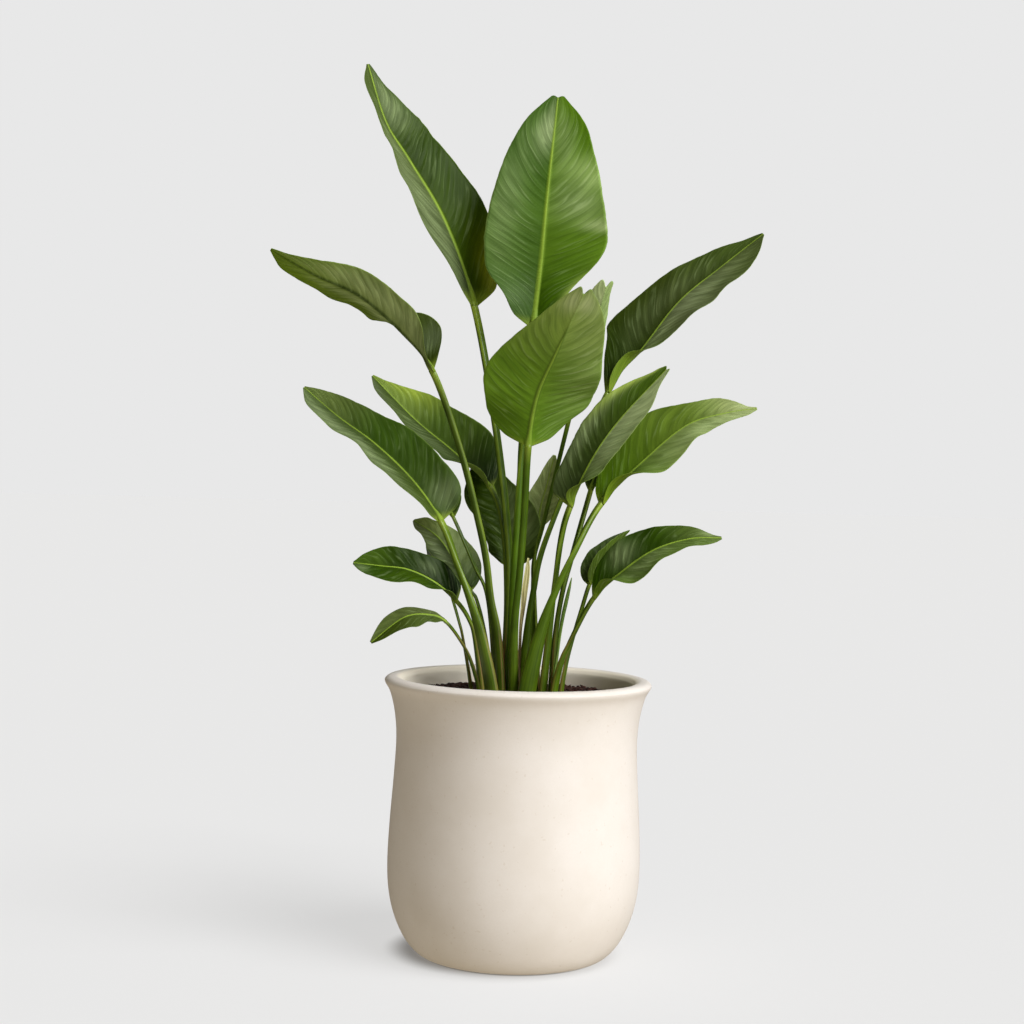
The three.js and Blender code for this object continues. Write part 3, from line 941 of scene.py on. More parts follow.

# the greens and patches of each leaf hold painted light and shade, besides the leaf's own colours
LEAVES = (
    Leaf(
        "crown_left", root=(-15, 16), stalk=((-15, 18, 466), (-18, 22, 546), (-38, 36, 692)),
        rib=((-72, 60, 859), (-115, 80, 974), (-167, 95, 1059), (-201, 103, 1112), (-228, 108, 1191)),
        sheath=(10, 7, 5), midrib=2.6, turn=(-48, -38), left=(18, 38, 70, 54, 33, 18, 19, 24),
        right=(39, 54, 67, 61, 53, 50, 36, 14), tip=(2, 0), fold=((10, 26), (10, 4)), wave=(1.5, 4),
        slim=0.55,
        tone=Tone(
            ((44, 60, 16), (70, 86, 38), (66, 84, 32)), ((54, 78, 0), (38, 58, 4), (50, 72, 10)),
            even(96, 120, 46), collar=(160, 186, 64),
        ),
        light_and_colour_patches=(
            PaintedLightAndColourPatch(1, 0.08, 0.8, 0.09, 0.35, 0.9, colour=(146, 152, 26), body=0.8),
            PaintedLightAndColourPatch(0, 0.22, 0.6, 0.22, 0.6, 0.35), PaintedLightAndColourPatch(0, 0.62, 0.5, 0.3, 0.4, 0.2),
            PaintedLightAndColourPatch(1, 0.85, 0.4, 0.15, 0.4, 0.4),
        ),
    ),
    Leaf(
        "crown_centre", root=(-9, 0), stalk=((-10, 0, 467), (-7, 2, 560), (-3, 8, 678)),
        rib=((8, 25, 830), (16, 34, 917), (22, 50, 1003), (34, 92, 1149)), sheath=(8, 6, 5), midrib=3.6,
        turn=(2, 3), left=(27, 43, 68, 76, 76, 70, 58, 39), right=(20, 33, 54, 82, 83, 73, 58, 40),
        tip=(8, 2), fold=((30, 8), (25, 6)), curl=(-6, 8), wave=(1.5, 3), slim=0.55,
        tone=Tone(
            ((62, 90, 38), (66, 98, 28), (52, 86, 12)), ((58, 90, 6), (84, 118, 28), (78, 114, 16)),
            even(112, 142, 56), stalk=(68, 96, 4), base=(70, 100, 0),
        ),
        light_and_colour_patches=(
            PaintedLightAndColourPatch(0, 0.9, 0.2, 0.07, 0.3, 0.75), PaintedLightAndColourPatch(0, 0.6, 0.75, 0.3, 0.35, 0.3),
            PaintedLightAndColourPatch(1, 0.76, 0.85, 0.05, 0.4, 1, colour=(170, 200, 120)),
            PaintedLightAndColourPatch(1, 0.55, 0.92, 0.03, 0.3, 1, colour=(190, 210, 150)),
            PaintedLightAndColourPatch(1, 0.66, 0.55, 0.09, 0.45, 0.5), PaintedLightAndColourPatch(1, 0.86, 0.3, 0.1, 0.3, 0.35),
            PaintedLightAndColourPatch(1, 0.16, 1.06, 0.1, 0.2, 1, colour=(158, 184, 92), body=1),
        ),
    ),
    Leaf(
        "front_centre", root=(-6, -28), stalk=((-7, -31, 430), (-2, -32, 502), (2, -34, 581)),
        rib=((5, -44, 671), (14, -72, 733), (34, -112, 782), (66, -190, 854)), sheath=(7, 5.5, 4.6),
        midrib=3, turn=(178, 163), left=(25, 45, 73, 77, 73, 62, 50, 34),
        right=(31, 52, 62, 72, 67, 55, 39, 25), tip=(9, 9), fold=((18, 8), (18, 8)), wave=(1, 3),
        slim=0.3,
        tone=Tone(even(84, 120, 34), even(84, 120, 34), ((86, 122, 26), (94, 130, 34), (124, 152, 70))),
        light_and_colour_patches=(
            PaintedLightAndColourPatch(0, 0.85, 0.6, 0.2, 0.6, 0.5, under=True, colour=(160, 184, 120)),
            PaintedLightAndColourPatch(1, 0.95, 0.35, 0.05, 0.5, 1, under=True, colour=(196, 208, 170), body=0.5),
            PaintedLightAndColourPatch(0, 0.95, 0.35, 0.04, 0.5, 1, under=True, colour=(196, 208, 170), body=0.5),
            PaintedLightAndColourPatch(0, 0.5, 0.8, 0.4, 0.5, 0.5, under=True, colour=(146, 166, 104)),
        ),
    ),
    Leaf(
        "young_back", root=(25, 30), stalk=((19, 31, 466), (17, 31, 519), (30, 31, 576)),
        rib=((63, 26, 727), (76, 10, 779), (90, -16, 837), (100, -44, 879)), sheath=(6, 4.5, 3),
        turn=(170, 170), left=(5, 8, 12, 15, 16, 14, 11, 9), right=(9, 15, 22, 26, 26, 25, 22, 16),
        tip=(9, 8), fold=((20, 22), (20, 15)), curl=(14, 14), wave=(0.5, 3),
        tone=Tone(
            even(180, 196, 130), even(180, 196, 130), ((176, 210, 136), (176, 210, 136), (190, 222, 150)),
        ),
        light_and_colour_patches=(
            PaintedLightAndColourPatch(1, 0.8, 0.5, 0.5, 3, 1, under=True, colour=(222, 244, 190), body=0.9),
            PaintedLightAndColourPatch(0, 0.8, 0.5, 0.5, 3, 0.7, under=True, colour=(120, 142, 84), body=0.9),
        ),
    ),
    Leaf(
        "right_high", root=(8, 4), stalk=((10, 6, 414), (17, 9, 478), (35, 16, 558)),
        rib=((110, 45, 746), (158, 58, 810), (205, 66, 873), (259, 70, 920), (316, 66, 967)),
        sheath=(8, 5.5, 4), turn=(60, 42), left=(16, 39, 65, 57, 46, 37, 24, 11),
        right=(11, 16, 20, 32, 42, 39, 38, 26), fold=((25, 6), (84, 4)),
        settle=((0.03, 0.32), (0.12, 0.3)), wave=(1.5, 4),
        light_and_colour_patches=(PaintedLightAndColourPatch(1, 0.5, 0.35, 0.3, 0.3, 0.5), PaintedLightAndColourPatch(0, 0.45, 0.4, 0.25, 0.3, 0.15)),
        tone=Tone(
            ((36, 54, 4), (52, 66, 18), (68, 88, 34)), ((68, 88, 26), (86, 98, 62), (78, 94, 46)),
            even(106, 132, 40),
        ),
    ),
    Leaf(
        "right_mid", root=(32, -14), stalk=((38, -13, 417), (43, -12, 476), (51, -12, 549)),
        rib=((62, -14, 593), (89, -14, 655), (125, -10, 709), (184, -12, 776)), sheath=(7.5, 5.5, 4.2),
        turn=(50, 40), left=(25, 33, 34, 35, 38, 36, 27, 14), right=(16, 28, 30, 31, 36, 35, 29, 12),
        tip=(4, 3), fold=((25, 18), (75, 9)), wave=(1, 3),
        tone=Tone(
            ((52, 66, 32), (48, 64, 22), (66, 92, 22)), ((86, 112, 34), (124, 142, 96), (150, 168, 120)),
            even(96, 120, 34),
        ),
        light_and_colour_patches=(
            PaintedLightAndColourPatch(1, 0.5, 0.45, 0.25, 0.35, 0.6), PaintedLightAndColourPatch(1, 0.85, 0.5, 0.15, 0.4, 0.4),
            PaintedLightAndColourPatch(0, 0.5, 0.8, 0.3, 0.25, 0.3),
            PaintedLightAndColourPatch(0, 0.82, 0.95, 0.2, 0.2, 1, colour=(164, 188, 92), body=0.9),
        ),
    ),
    Leaf(
        "right_bright", root=(10, -40), stalk=((25, -38, 419), (41, -36, 471), (69, -28, 535)),
        rib=((103, -6, 598), (157, 10, 654), (215, 18, 704), (268, 20, 722), (308, 20, 729)),
        sheath=(12.5, 7, 4.4), clasp=160, turn=(58, 40), left=(18, 36, 50, 49, 28, 25, 15, 5),
        right=(13, 28, 42, 38, 28, 20, 14, 9), fold=((20, 10), (62, 7)),
        settle=((0.03, 0.32), (0.06, 0.28)), wave=(1.5, 4),
        light_and_colour_patches=(PaintedLightAndColourPatch(1, 0.6, 0.6, 0.25, 0.35, 0.5), PaintedLightAndColourPatch(0, 0.9, 0.5, 0.1, 0.5, 0.5)),
        tone=Tone(
            ((74, 104, 14), (92, 116, 38), (156, 170, 114)),
            ((80, 112, 16), (120, 140, 78), (150, 166, 112)), even(104, 134, 24), stalk=(76, 102, 12),
            base=(64, 86, 4),
        ),
    ),
    Leaf(
        "right_tucked", root=(44, 10), stalk=((47, 12, 415), (55, 14, 475), (68, 24, 528)),
        rib=((91, 42, 615), (104, 54, 662), (122, 62, 703), (148, 68, 742)), sheath=(7, 5, 3.6),
        turn=(45, 40), left=(8, 16, 23, 24, 23, 20, 14, 8), right=(8, 16, 21, 22, 21, 18, 13, 7),
        fold=((20, 12), (20, 10)), wave=(0.6, 3),
        tone=Tone(even(56, 78, 30), even(56, 78, 30), even(90, 116, 44)),
    ),
    Leaf(
        "right_low", root=(46, -26), stalk=((54, -26, 385), (67, -28, 419)),
        rib=((95, -46, 476), (132, -58, 513), (171, -64, 541), (216, -64, 556), (257, -58, 558)),
        sheath=(6.5, 5, 3.4), clasp=90, turn=(58, 42), left=(13, 28, 36, 35, 28, 21, 13, 5),
        right=(10, 20, 32, 31, 20, 16, 14, 10), fold=((20, 12), (70, 10)),
        settle=((0.03, 0.32), (0.1, 0.28)), curl=(6, 8), wave=(1.2, 4),
        tone=Tone(
            ((44, 72, 0), (38, 62, 2), (84, 104, 44)), ((80, 106, 34), (74, 96, 34), (84, 106, 46)),
            even(86, 116, 14),
        ),
        light_and_colour_patches=(
            PaintedLightAndColourPatch(0, 0.3, 0.5, 0.1, 0.4, 0.45), PaintedLightAndColourPatch(1, 0.4, 0.4, 0.2, 0.4, 0.3),
            PaintedLightAndColourPatch(0, 0.9, 0.6, 0.08, 0.4, 0.4),
        ),
    ),
    Leaf(
        "right_low_back", root=(56, -4), stalk=((61, -3, 379), (68, 0, 410), (82, 4, 460)),
        rib=((91, 8, 490), (104, 26, 515), (121, 50, 534), (147, 92, 560)), sheath=(4.5, 4, 3), clasp=90,
        turn=(70, 70), left=(9, 16, 21, 22, 21, 18, 13, 7), right=(9, 16, 21, 22, 21, 18, 13, 7),
        fold=((50, 45), (60, 50)), wave=(0.6, 3),
        tone=Tone(even(56, 74, 30), even(56, 74, 30), even(72, 94, 28)),
    ),
    Leaf(
        "left_high", root=(-24, -14),
        stalk=((-30, -15, 422), (-39, -17, 468), (-46, -20, 520), (-58, -24, 573), (-83, -30, 663)),
        rib=((-121, -40, 763), (-161, -62, 811), (-214, -90, 854), (-269, -112, 877), (-324, -124, 906)),
        sheath=(12, 7, 4.8), clasp=175, turn=(-100, -130), left=(4, 16, 36, 39, 37, 30, 17, 7),
        right=(18, 50, 51, 27, 33, 28, 26, 23), fold=((-5, 6), (72, 6)),
        settle=((0.03, 0.32), (0.2, 0.4)), curl=(6, 6), wave=(1, 4), slim=0.55, keel=0.1,
        tone=Tone(
            even(58, 78, 18), ((36, 48, 0), (42, 58, 0), (64, 86, 22)),
            ((88, 104, 52), (90, 112, 32), (94, 122, 18)), stalk=(58, 77, 9), base=(74, 92, 16),
        ),
        light_and_colour_patches=(
            PaintedLightAndColourPatch(0, 0.45, 0.5, 0.4, 0.5, 0.8, under=True),
            PaintedLightAndColourPatch(1, 0.4, 0.25, 0.35, 0.25, 0.65, under=True),
            PaintedLightAndColourPatch(0, 0.45, 0, 0.7, 0.05, 1, under=True, colour=(44, 62, 6), body=0.95),
            PaintedLightAndColourPatch(1, 0.45, 0, 0.7, 0.05, 1, under=True, colour=(44, 62, 6), body=0.95),
        ),
    ),
    Leaf(
        "left_mid", root=(-33, -36), stalk=((-49, -37, 417), (-65, -38, 468), (-84, -30, 516)),
        rib=((-107, -22, 570), (-146, -4, 622), (-198, 12, 669), (-249, 24, 704), (-296, 30, 742)),
        sheath=(10.5, 6.5, 4.8), clasp=175, turn=(-50, -36), left=(20, 28, 39, 43, 32, 36, 36, 27),
        right=(30, 49, 48, 47, 37, 31, 24, 13), fold=((20, 26), (20, 18)), curl=(8, 6), wave=(1.5, 4),
        tone=Tone(
            ((66, 84, 30), (62, 80, 34), (84, 104, 56)), ((52, 74, 20), (52, 78, 18), (104, 124, 64)),
            even(100, 124, 50), stalk=(80, 104, 18), base=(84, 106, 24),
        ),
        light_and_colour_patches=(
            PaintedLightAndColourPatch(1, 0.12, 0.5, 0.06, 0.4, 0.35), PaintedLightAndColourPatch(0, 0.5, 0.7, 0.25, 0.3, 0.45),
            PaintedLightAndColourPatch(0, 0.8, 0.6, 0.12, 0.3, 0.45),
        ),
    ),
    Leaf(
        "left_mid_back", root=(-17, 36), stalk=((-18, 35, 465), (-25, 34, 558)),
        rib=((-44, 44, 615), (-93, 68, 660), (-149, 84, 704), (-210, 92, 763)), sheath=(7, 6, 3.6),
        turn=(-48, -38), left=(14, 28, 44, 44, 43, 40, 33, 28), right=(14, 34, 52, 52, 46, 40, 25, 10),
        fold=((60, 30), (20, 22)), curl=(8, 6), wave=(1, 3),
        tone=Tone(
            ((50, 70, 20), (58, 76, 30), (62, 78, 34)), ((14, 32, 0), (70, 94, 32), (128, 152, 70)),
            even(108, 134, 52),
        ),
        light_and_colour_patches=(
            PaintedLightAndColourPatch(1, 0.8, 0.85, 0.14, 0.4, 1, colour=(150, 172, 60), body=0.7),
            PaintedLightAndColourPatch(0, 0.5, 0.5, 0.3, 0.4, 0.2),
        ),
    ),
    Leaf(
        "centre_low", root=(-14, 54), stalk=((-12, 53, 437),),
        rib=((-13, 50, 508), (-18, 58, 544), (-31, 70, 591), (-45, 80, 629), (-61, 84, 663)),
        sheath=(6, 5, 3.4), clasp=110, turn=(0, 0), left=(15, 28, 28, 33, 42, 40, 28, 15),
        right=(27, 40, 47, 46, 33, 20, 13, 8), fold=((25, 12), (25, 12)), wave=(0.8, 3),
        tone=Tone(even(42, 62, 0), even(60, 80, 24), even(90, 116, 44)),
        light_and_colour_patches=(PaintedLightAndColourPatch(1, 0.4, 0.5, 0.2, 0.4, 0.4),),
    ),
    Leaf(
        "centre_right", root=(18, 48), stalk=((17, 56, 444), (18, 68, 525)),
        rib=((22, 74, 559), (25, 77, 589), (33, 77, 621), (42, 74, 661)), sheath=(5, 4.5, 3),
        turn=(25, 25), left=(8, 16, 22, 22, 18, 14, 10, 6), right=(8, 20, 30, 30, 26, 20, 14, 8),
        fold=((30, 20), (30, 20)), wave=(0.6, 3),
        tone=Tone(even(150, 166, 110), even(150, 166, 110), even(150, 166, 110)),
    ),
    Leaf(
        "left_low_back", root=(-33, 20), stalk=((-47, 20, 425), (-58, 20, 465)),
        rib=((-66, 20, 477), (-88, 28, 514), (-112, 36, 546), (-146, 48, 568)), sheath=(5.5, 4.5, 2.4),
        clasp=110, turn=(-45, -40), left=(12, 22, 31, 34, 34, 25, 15, 11),
        right=(10, 22, 31, 32, 27, 21, 16, 12), fold=((40, 12), (20, 12)), wave=(0.8, 3),
        light_and_colour_patches=(PaintedLightAndColourPatch(0, 0.45, 0.5, 0.3, 0.4, 0.4),),
        tone=Tone(
            ((46, 66, 10), (38, 52, 8), (114, 128, 72)), ((34, 54, 0), (108, 124, 76), (142, 160, 96)),
            even(90, 116, 44),
        ),
    ),
    Leaf(
        "left_low", root=(-47, -8), stalk=((-58, -12, 414), (-66, -14, 440)),
        rib=((-83, -24, 465), (-112, -36, 490), (-147, -44, 506), (-183, -48, 510), (-218, -46, 513)),
        sheath=(6.5, 5, 3), clasp=90, turn=(-58, -45), left=(8, 11, 13, 17, 25, 26, 20, 12),
        right=(19, 26, 31, 28, 28, 28, 23, 14), fold=((65, 5), (15, 12)),
        settle=((0.1, 0.3), (0.03, 0.32)), curl=(6, 8), wave=(1, 3),
        light_and_colour_patches=(PaintedLightAndColourPatch(0, 0.92, 0.5, 0.07, 0.5, 0.3), PaintedLightAndColourPatch(1, 0.35, 0.5, 0.08, 0.3, 0.15)),
        tone=Tone(
            ((40, 62, 4), (44, 66, 4), (42, 70, 0)), ((8, 26, 0), (26, 46, 0), (62, 88, 20)),
            even(74, 98, 16),
        ),
    ),
    Leaf(
        "left_lowest", root=(-49, -26), stalk=((-63, -27, 389), (-77, -31, 415)),
        rib=((-96, -40, 439), (-115, -48, 448), (-149, -58, 445), (-191, -66, 412)), sheath=(3.5, 3, 2.2),
        clasp=90, turn=(-45, -38), left=(6, 8, 10, 12, 20, 20, 13, 8), right=(3, 3, 4, 6, 10, 14, 15, 9),
        fold=((50, 10), (-40, 5)), curl=(6, 6), wave=(0.8, 3),
        tone=Tone(
            ((66, 82, 34), (64, 80, 32), (54, 70, 8)), ((84, 96, 54), (78, 90, 46), (86, 102, 52)),
            even(90, 110, 50),
        ),
    ),
    Leaf(
        "left_hidden", root=(-61, 8), stalk=((-74, 8, 412), (-81, 9, 438)),
        rib=((-92, 22, 471), (-100, 40, 495), (-113, 62, 517), (-128, 90, 540)), sheath=(3, 3, 2),
        clasp=90, turn=(-40, -40), left=(7, 14, 20, 21, 20, 17, 12, 7),
        right=(7, 14, 20, 21, 20, 17, 12, 7), fold=((30, 20), (30, 20)), wave=(0.5, 3),
        tone=Tone(even(56, 74, 18), even(56, 74, 18), even(80, 100, 36)),
    ),
    Leaf(
        "left_tucked", root=(-28, 6), stalk=((-43, 4, 466), (-62, 4, 511)),
        rib=((-92, 12, 575), (-106, 28, 594), (-124, 46, 613), (-144, 64, 634)), sheath=(5, 4.5, 2.4),
        turn=(-40, -40), left=(8, 16, 23, 25, 24, 20, 14, 8), right=(8, 16, 23, 25, 24, 20, 14, 8),
        fold=((30, 20), (30, 20)), wave=(0.6, 3),
        tone=Tone(even(50, 70, 20), even(50, 70, 20), even(80, 104, 36)),
    ),
)


# ---------------------------------------- stalks and blades


@dataclass(frozen=True)
class Frame:
    """A place on a leaf with its sideways and upward directions, in millimetres."""

    origin: Vector
    right: Vector
    up: Vector

    def point(self, right: float, up: float) -> Vector:
        """Returns a point beside and above the place, in metres."""
        return (self.origin + self.right * right + self.up * up) * MM


class Spine:
    """The curve of a leaf from its buried end to its tip."""

    SOIL_TOP = 341.0
    ROOT_DEPTH = 50.0

    def __init__(self, root: Pair, stalk: tuple[Triple, ...], rib: tuple[Triple, ...] = ()) -> None:
        """Lays the curve through all points, from below the soil on.

        Args:
            root: Where the stalk leaves the soil.
            stalk: Points of the stalk.
            rib: Points of the midrib. Without them the stalk goes to the curve's end.
        """
        below = [(*root, self.SOIL_TOP - self.ROOT_DEPTH), (*root, self.SOIL_TOP)]
        points = [*below, *stalk, *rib]
        self.curve = Curve(points)
        self.share = (len(below) + len(stalk)) / (len(points) - 1) if rib else 1.0

    def frame(self, at: float, turn: float) -> Frame:
        """Returns the frame at a share of the curve.

        Args:
            at: The share of the curve.
            turn: How far the upper side is turned from facing the front, in degrees.

        Returns:
            The frame there.
        """
        along = self.curve.heading(at)
        across = along.cross(FRONT).normalized()
        facing = across.cross(along).normalized()
        angle = math.radians(turn)
        up = facing * math.cos(angle) - across * math.sin(angle)
        return Frame(self.curve.at(at), along.cross(up), up)


def bent(
    bm: bmesh.types.BMesh, spine: Spine, end: float, turn: Callable[[float], float] = lambda v: 0.0
) -> Iterator[tuple[bmesh.types.BMVert, float, float, Frame]]:
    """Goes through the points of a tube that is bent along a spine, and writes their grain.

    Args:
        bm: The tube.
        spine: The spine.
        end: The share of the spine at which the tube ends.
        turn: Gives how far the tube is turned at a share of it, in degrees.

    Yields:
        A point, its share of the tube, its angle round the tube, and the frame there.
    """
    grain = bm.verts.layers.float_vector.new("grain")
    long = spine.curve.length(0.0, end) * MM
    for vert in bm.verts:
        v = (vert.co.z + 1.0) / 2.0
        angle = math.atan2(vert.co.y, vert.co.x)
        vert[grain] = Vector((angle / math.pi, v * long, v))
        yield vert, v, angle, spine.frame(v * end, turn(v))


class Petiole:
    """The stalk of a leaf: a clasping, channelled sheath at the soil that narrows to a round neck.

    A stalk that leaves the soil within MIDDLE of the clump's axis has its channel at the back. The
    channel has a depth at the neck and one at the soil, as shares. Its two lips have a place and a
    spread, and their worn brown fades between two heights above the soil.
    """

    SEGMENTS = 28
    RINGS = 64
    INTO_BLADE = 0.004
    MIDDLE = 12.0
    TURN_RUN = (0.45, 1.0)
    CHANNEL = (0.25, 0.8)
    CHANNEL_HALF = 0.62
    LIP = (0.93, 0.08)
    PALE_LIP = (0.86, 0.2)
    PALE_SHARE = 0.4
    WORN = (60.0, 150.0)
    WORN_SHARE = 0.8
    COLLAR_RUN = (0.93, 1.0)
    COLLAR_SHARE = 0.75

    def __init__(self, leaf: Leaf) -> None:
        """Keeps the leaf and lays its spine."""
        self.leaf = leaf
        self.spine = Spine(leaf.root, leaf.stalk, leaf.rib)

    def turn(self, v: float) -> float:
        """Turns the stalk's channel from the clump's middle, near the soil, to the blade's side.

        Args:
            v: The share of the stalk.

        Returns:
            The turn there in degrees.
        """
        x, y = self.leaf.root
        inward = math.degrees(math.atan2(x, y)) if math.hypot(x, y) > self.MIDDLE else 180.0
        end = self.leaf.turn[0]
        way = (end - inward + 180.0) % 360.0 - 180.0
        return inward + way * smooth(*self.TURN_RUN, v)

    def section(self, height: float, angle: float) -> tuple[float, float, float]:
        """Returns a point of the cross-section and how brown it is.

        Args:
            height: Height above the soil in millimetres.
            angle: The place round the stalk; its channel is at a quarter turn.

        Returns:
            The point to the right and upwards in millimetres, and the brown share.
        """
        wide, deep, neck = self.leaf.sheath
        taper = 1 - smooth(0.0, self.leaf.clasp, height)
        across, over = mix(neck, wide, taper), mix(neck, deep, taper)
        x, y = math.cos(angle), math.sin(angle)
        valley = math.exp(-((x / self.CHANNEL_HALF) ** 4)) if y > 0 else 0.0
        channel = mix(*self.CHANNEL, taper) * valley
        lip = bell(*self.LIP, abs(x)) if y > -0.3 else 0.0
        worn = self.WORN_SHARE * lip * (1 - smooth(*self.WORN, height))
        return across * x, over * y * (1 - channel), worn

    def paint(self, v: float, height: float, angle: float) -> Triple:
        """Colours the stalk, which is paler at its two margins and where the blade begins.

        Args:
            v: The share of the stalk.
            height: Height above the soil in millimetres.
            angle: The place round the stalk.

        Returns:
            The green there, as linear light.
        """
        tone = self.leaf.tone
        low = blended(linear(tone.base), linear(tone.stalk), smooth(0.0, self.leaf.clasp, height))
        green = blended(low, linear(tone.collar), self.COLLAR_SHARE * smooth(*self.COLLAR_RUN, v))
        lip = bell(*self.PALE_LIP, abs(math.cos(angle))) if math.sin(angle) > -0.1 else 0.0
        return blended(green, linear(tone.collar), self.PALE_SHARE * lip)

    def build(self, material: bpy.types.Material) -> bpy.types.Object:
        """Makes the stalk.

        Args:
            material: Its finish.

        Returns:
            The stalk.
        """
        bm = tube(self.SEGMENTS, self.RINGS)
        tint = bm.verts.layers.float_color.new("tint")
        for vert, v, angle, frame in bent(bm, self.spine, self.spine.share + self.INTO_BLADE, self.turn):
            height = frame.origin.z - Spine.SOIL_TOP
            right, up, brown = self.section(height, angle)
            vert[tint] = (*self.paint(v, height, angle), brown)
            vert.co = frame.point(right, up)
        name = f"{self.leaf.name}_petiole"
        return finish_piece(bm, name, [material], "leaf_stalk", f"{self.leaf.name}_stalk")


@dataclass(frozen=True)
class Row:
    """What all points of one row across a blade share. Lengths are in millimetres."""

    v: float
    frame: Frame
    rib: float
    body: float
    widths: Pair
    rises: Pair


class Spot(NamedTuple):
    """A place on a blade.

    Its hand is 0 on the left half and 1 on the right one, its reach goes from 0 at the midrib to 1
    at the margin, and its side is 1 for the upper face and -1 for the lower one.
    """

    row: Row
    hand: int
    reach: float
    side: int


class Blade:
    """A leaf blade with its midrib: two thin faces over one grid, pleated along the veins.

    Its sizes are in millimetres, and a run says from where to where something sets in, as shares of
    the blade or of a half's width. A step is the distance after which a pattern comes again.
    """

    THICKNESS = 1.0
    EDGE_THICKNESS = 0.45
    RIB_TIP = 0.9
    EDGE_START = 1.5
    NECK_RUN = 0.09
    TURN_RUN = (0.03, 0.32)
    EDGE_RUN = (0.6, 1.0)
    LOBE_RUN = (0.9, 1.0)
    RIB_COLUMNS = 3
    HALF_COLUMNS = 20
    ROW_STEP = 2.4
    SWEEP = 0.17
    PLEAT = 0.6
    PLEAT_STEP = 12.5
    RAGGED = 0.7
    RAGGED_STEP = 22.0
    WANDER = 1.4
    WANDER_STEP = 30.0
    NARROW = 8.0
    NARROWEST = 0.4
    # painted shade in the crease beside the midrib on the upper face
    PAINTED_SHADE = 0.16
    PAINTED_SHADE_RUN = (0.05, 0.5)
    RIB_FADE_RUN = (0.7, 0.93)
    COLLAR_RUN = (0.0, 0.05)
    COLLAR_SHARE = 0.6

    def __init__(self, leaf: Leaf, seed: int) -> None:
        """Keeps the leaf and measures its blade.

        Args:
            leaf: The leaf.
            seed: A number that makes its margin and its pleats unlike those of the others.
        """
        self.leaf = leaf
        self.seed = seed
        self.spine = Spine(leaf.root, leaf.stalk, leaf.rib)
        self.long = self.spine.curve.length(self.spine.share, 1.0)
        self.rows = int(self.long / self.ROW_STEP)
        self.columns = 2 * (self.RIB_COLUMNS + self.HALF_COLUMNS)

    def width(self, hand: int, v: float) -> float:
        """Reads the width of a half of the blade, with its ragged margin.

        Args:
            hand: 0 for the left half and 1 for the right one.
            v: The share of the blade.

        Returns:
            The width in millimetres.
        """
        given = (self.leaf.left, self.leaf.right)[hand]
        width = value_at(STATIONS, (self.EDGE_START, *given, self.leaf.tip[0]), v)
        place = Vector((v * self.long / self.RAGGED_STEP, hand * 9.0, self.seed * 3.7))
        wander = noise.fractal(place, 0.6, 2.2, 4) * self.RAGGED
        wander *= smooth(0.0, 0.1, v) * smooth(0.0, self.NARROW, width)
        return max(width + wander, self.NARROWEST)

    def row(self, v: float) -> Row:
        """Works out what the points of a row have in common.

        Args:
            v: The share of the blade.

        Returns:
            The row there.
        """
        leaf = self.leaf
        at = mix(self.spine.share, 1.0, v)
        body = 1 - smooth(0.0, self.NECK_RUN, v)
        rises = [mix(*fold, smooth(*settle, v)) for fold, settle in zip(leaf.fold, leaf.settle)]
        return Row(
            v=v,
            frame=self.spine.frame(at, mix(*leaf.turn, smooth(*self.TURN_RUN, v))),
            rib=mix(leaf.midrib, self.RIB_TIP, v**0.8) + (leaf.sheath[2] - leaf.midrib) * body,
            body=body,
            widths=(self.width(0, v), self.width(1, v)),
            rises=tuple(math.radians(rise) for rise in rises),
        )

    def vein(self, reach: float, v: float) -> float:
        """Returns the place along the veins, in millimetres: a vein leaves the rib and sweeps on."""
        return (v - self.SWEEP * reach**1.15) * self.long

    def rib_point(self, row: Row, x: float, side: int) -> Vector:
        """Returns a point of the midrib, which is arched above and a rounded keel below.

        Args:
            row: The row.
            x: Place across the midrib, from -1 to 1.
            side: 1 for the upper face and -1 for the lower one.

        Returns:
            The point in metres.
        """
        neck = self.leaf.sheath[2]
        edge = mix(self.THICKNESS, neck, row.body) / 2
        if side > 0:
            crest = mix(edge + 0.3 * row.rib, neck * 0.8, row.body)
            height = mix(crest, edge, x * x)
        else:
            keel = mix(row.rib, neck * 0.9, row.body)
            height = -mix(edge, keel, math.sqrt(max(1 - x * x, 0.0)))
        return row.frame.point(row.rib * x, height)

    def half_point(self, spot: Spot) -> Vector:
        """Returns a point of a half of the blade, which folds, curls, waves and is pleated.

        Args:
            spot: The place.

        Returns:
            The point in metres.
        """
        row, hand, reach, side = spot
        leaf, width = self.leaf, row.widths[hand]
        bend = math.radians(leaf.curl[hand])
        rise = row.rises[hand]
        angle = rise + bend * reach
        out = width * (math.sin(angle) - math.sin(rise)) / bend
        lift = width * (math.cos(rise) - math.cos(angle)) / bend
        thick = mix(self.THICKNESS, self.EDGE_THICKNESS, smooth(*self.EDGE_RUN, reach))
        thick = mix(thick, leaf.sheath[2], row.body * (1 - smooth(0.0, 0.12, reach)))
        ends = math.sin(math.pi * row.v)
        off = leaf.wave[0] * reach * reach * ends
        off *= math.sin(2 * math.pi * (leaf.wave[1] * row.v + hand / 3))
        vein = self.vein(reach, row.v)
        wander = noise.noise(Vector((vein / self.WANDER_STEP, reach, self.seed + hand * 5.0)))
        pleat = math.sin(2 * math.pi * vein / self.PLEAT_STEP + 5.0 * wander)
        off += self.PLEAT * pleat * smooth(0.0, 0.2, reach) * smooth(1.05, 0.7, reach) * ends
        off += self.WANDER * wander * reach * ends
        off += side * thick / 2
        right = row.rib + out - off * math.sin(angle)
        point = row.frame.point(right if hand else -right, lift + off * math.cos(angle))
        ahead = row.frame.up.cross(row.frame.right)
        lobe = leaf.tip[1] * MM * math.sin(0.8 * math.pi * min(reach, 1.0))
        return point + ahead * (lobe * smooth(*self.LOBE_RUN, row.v))

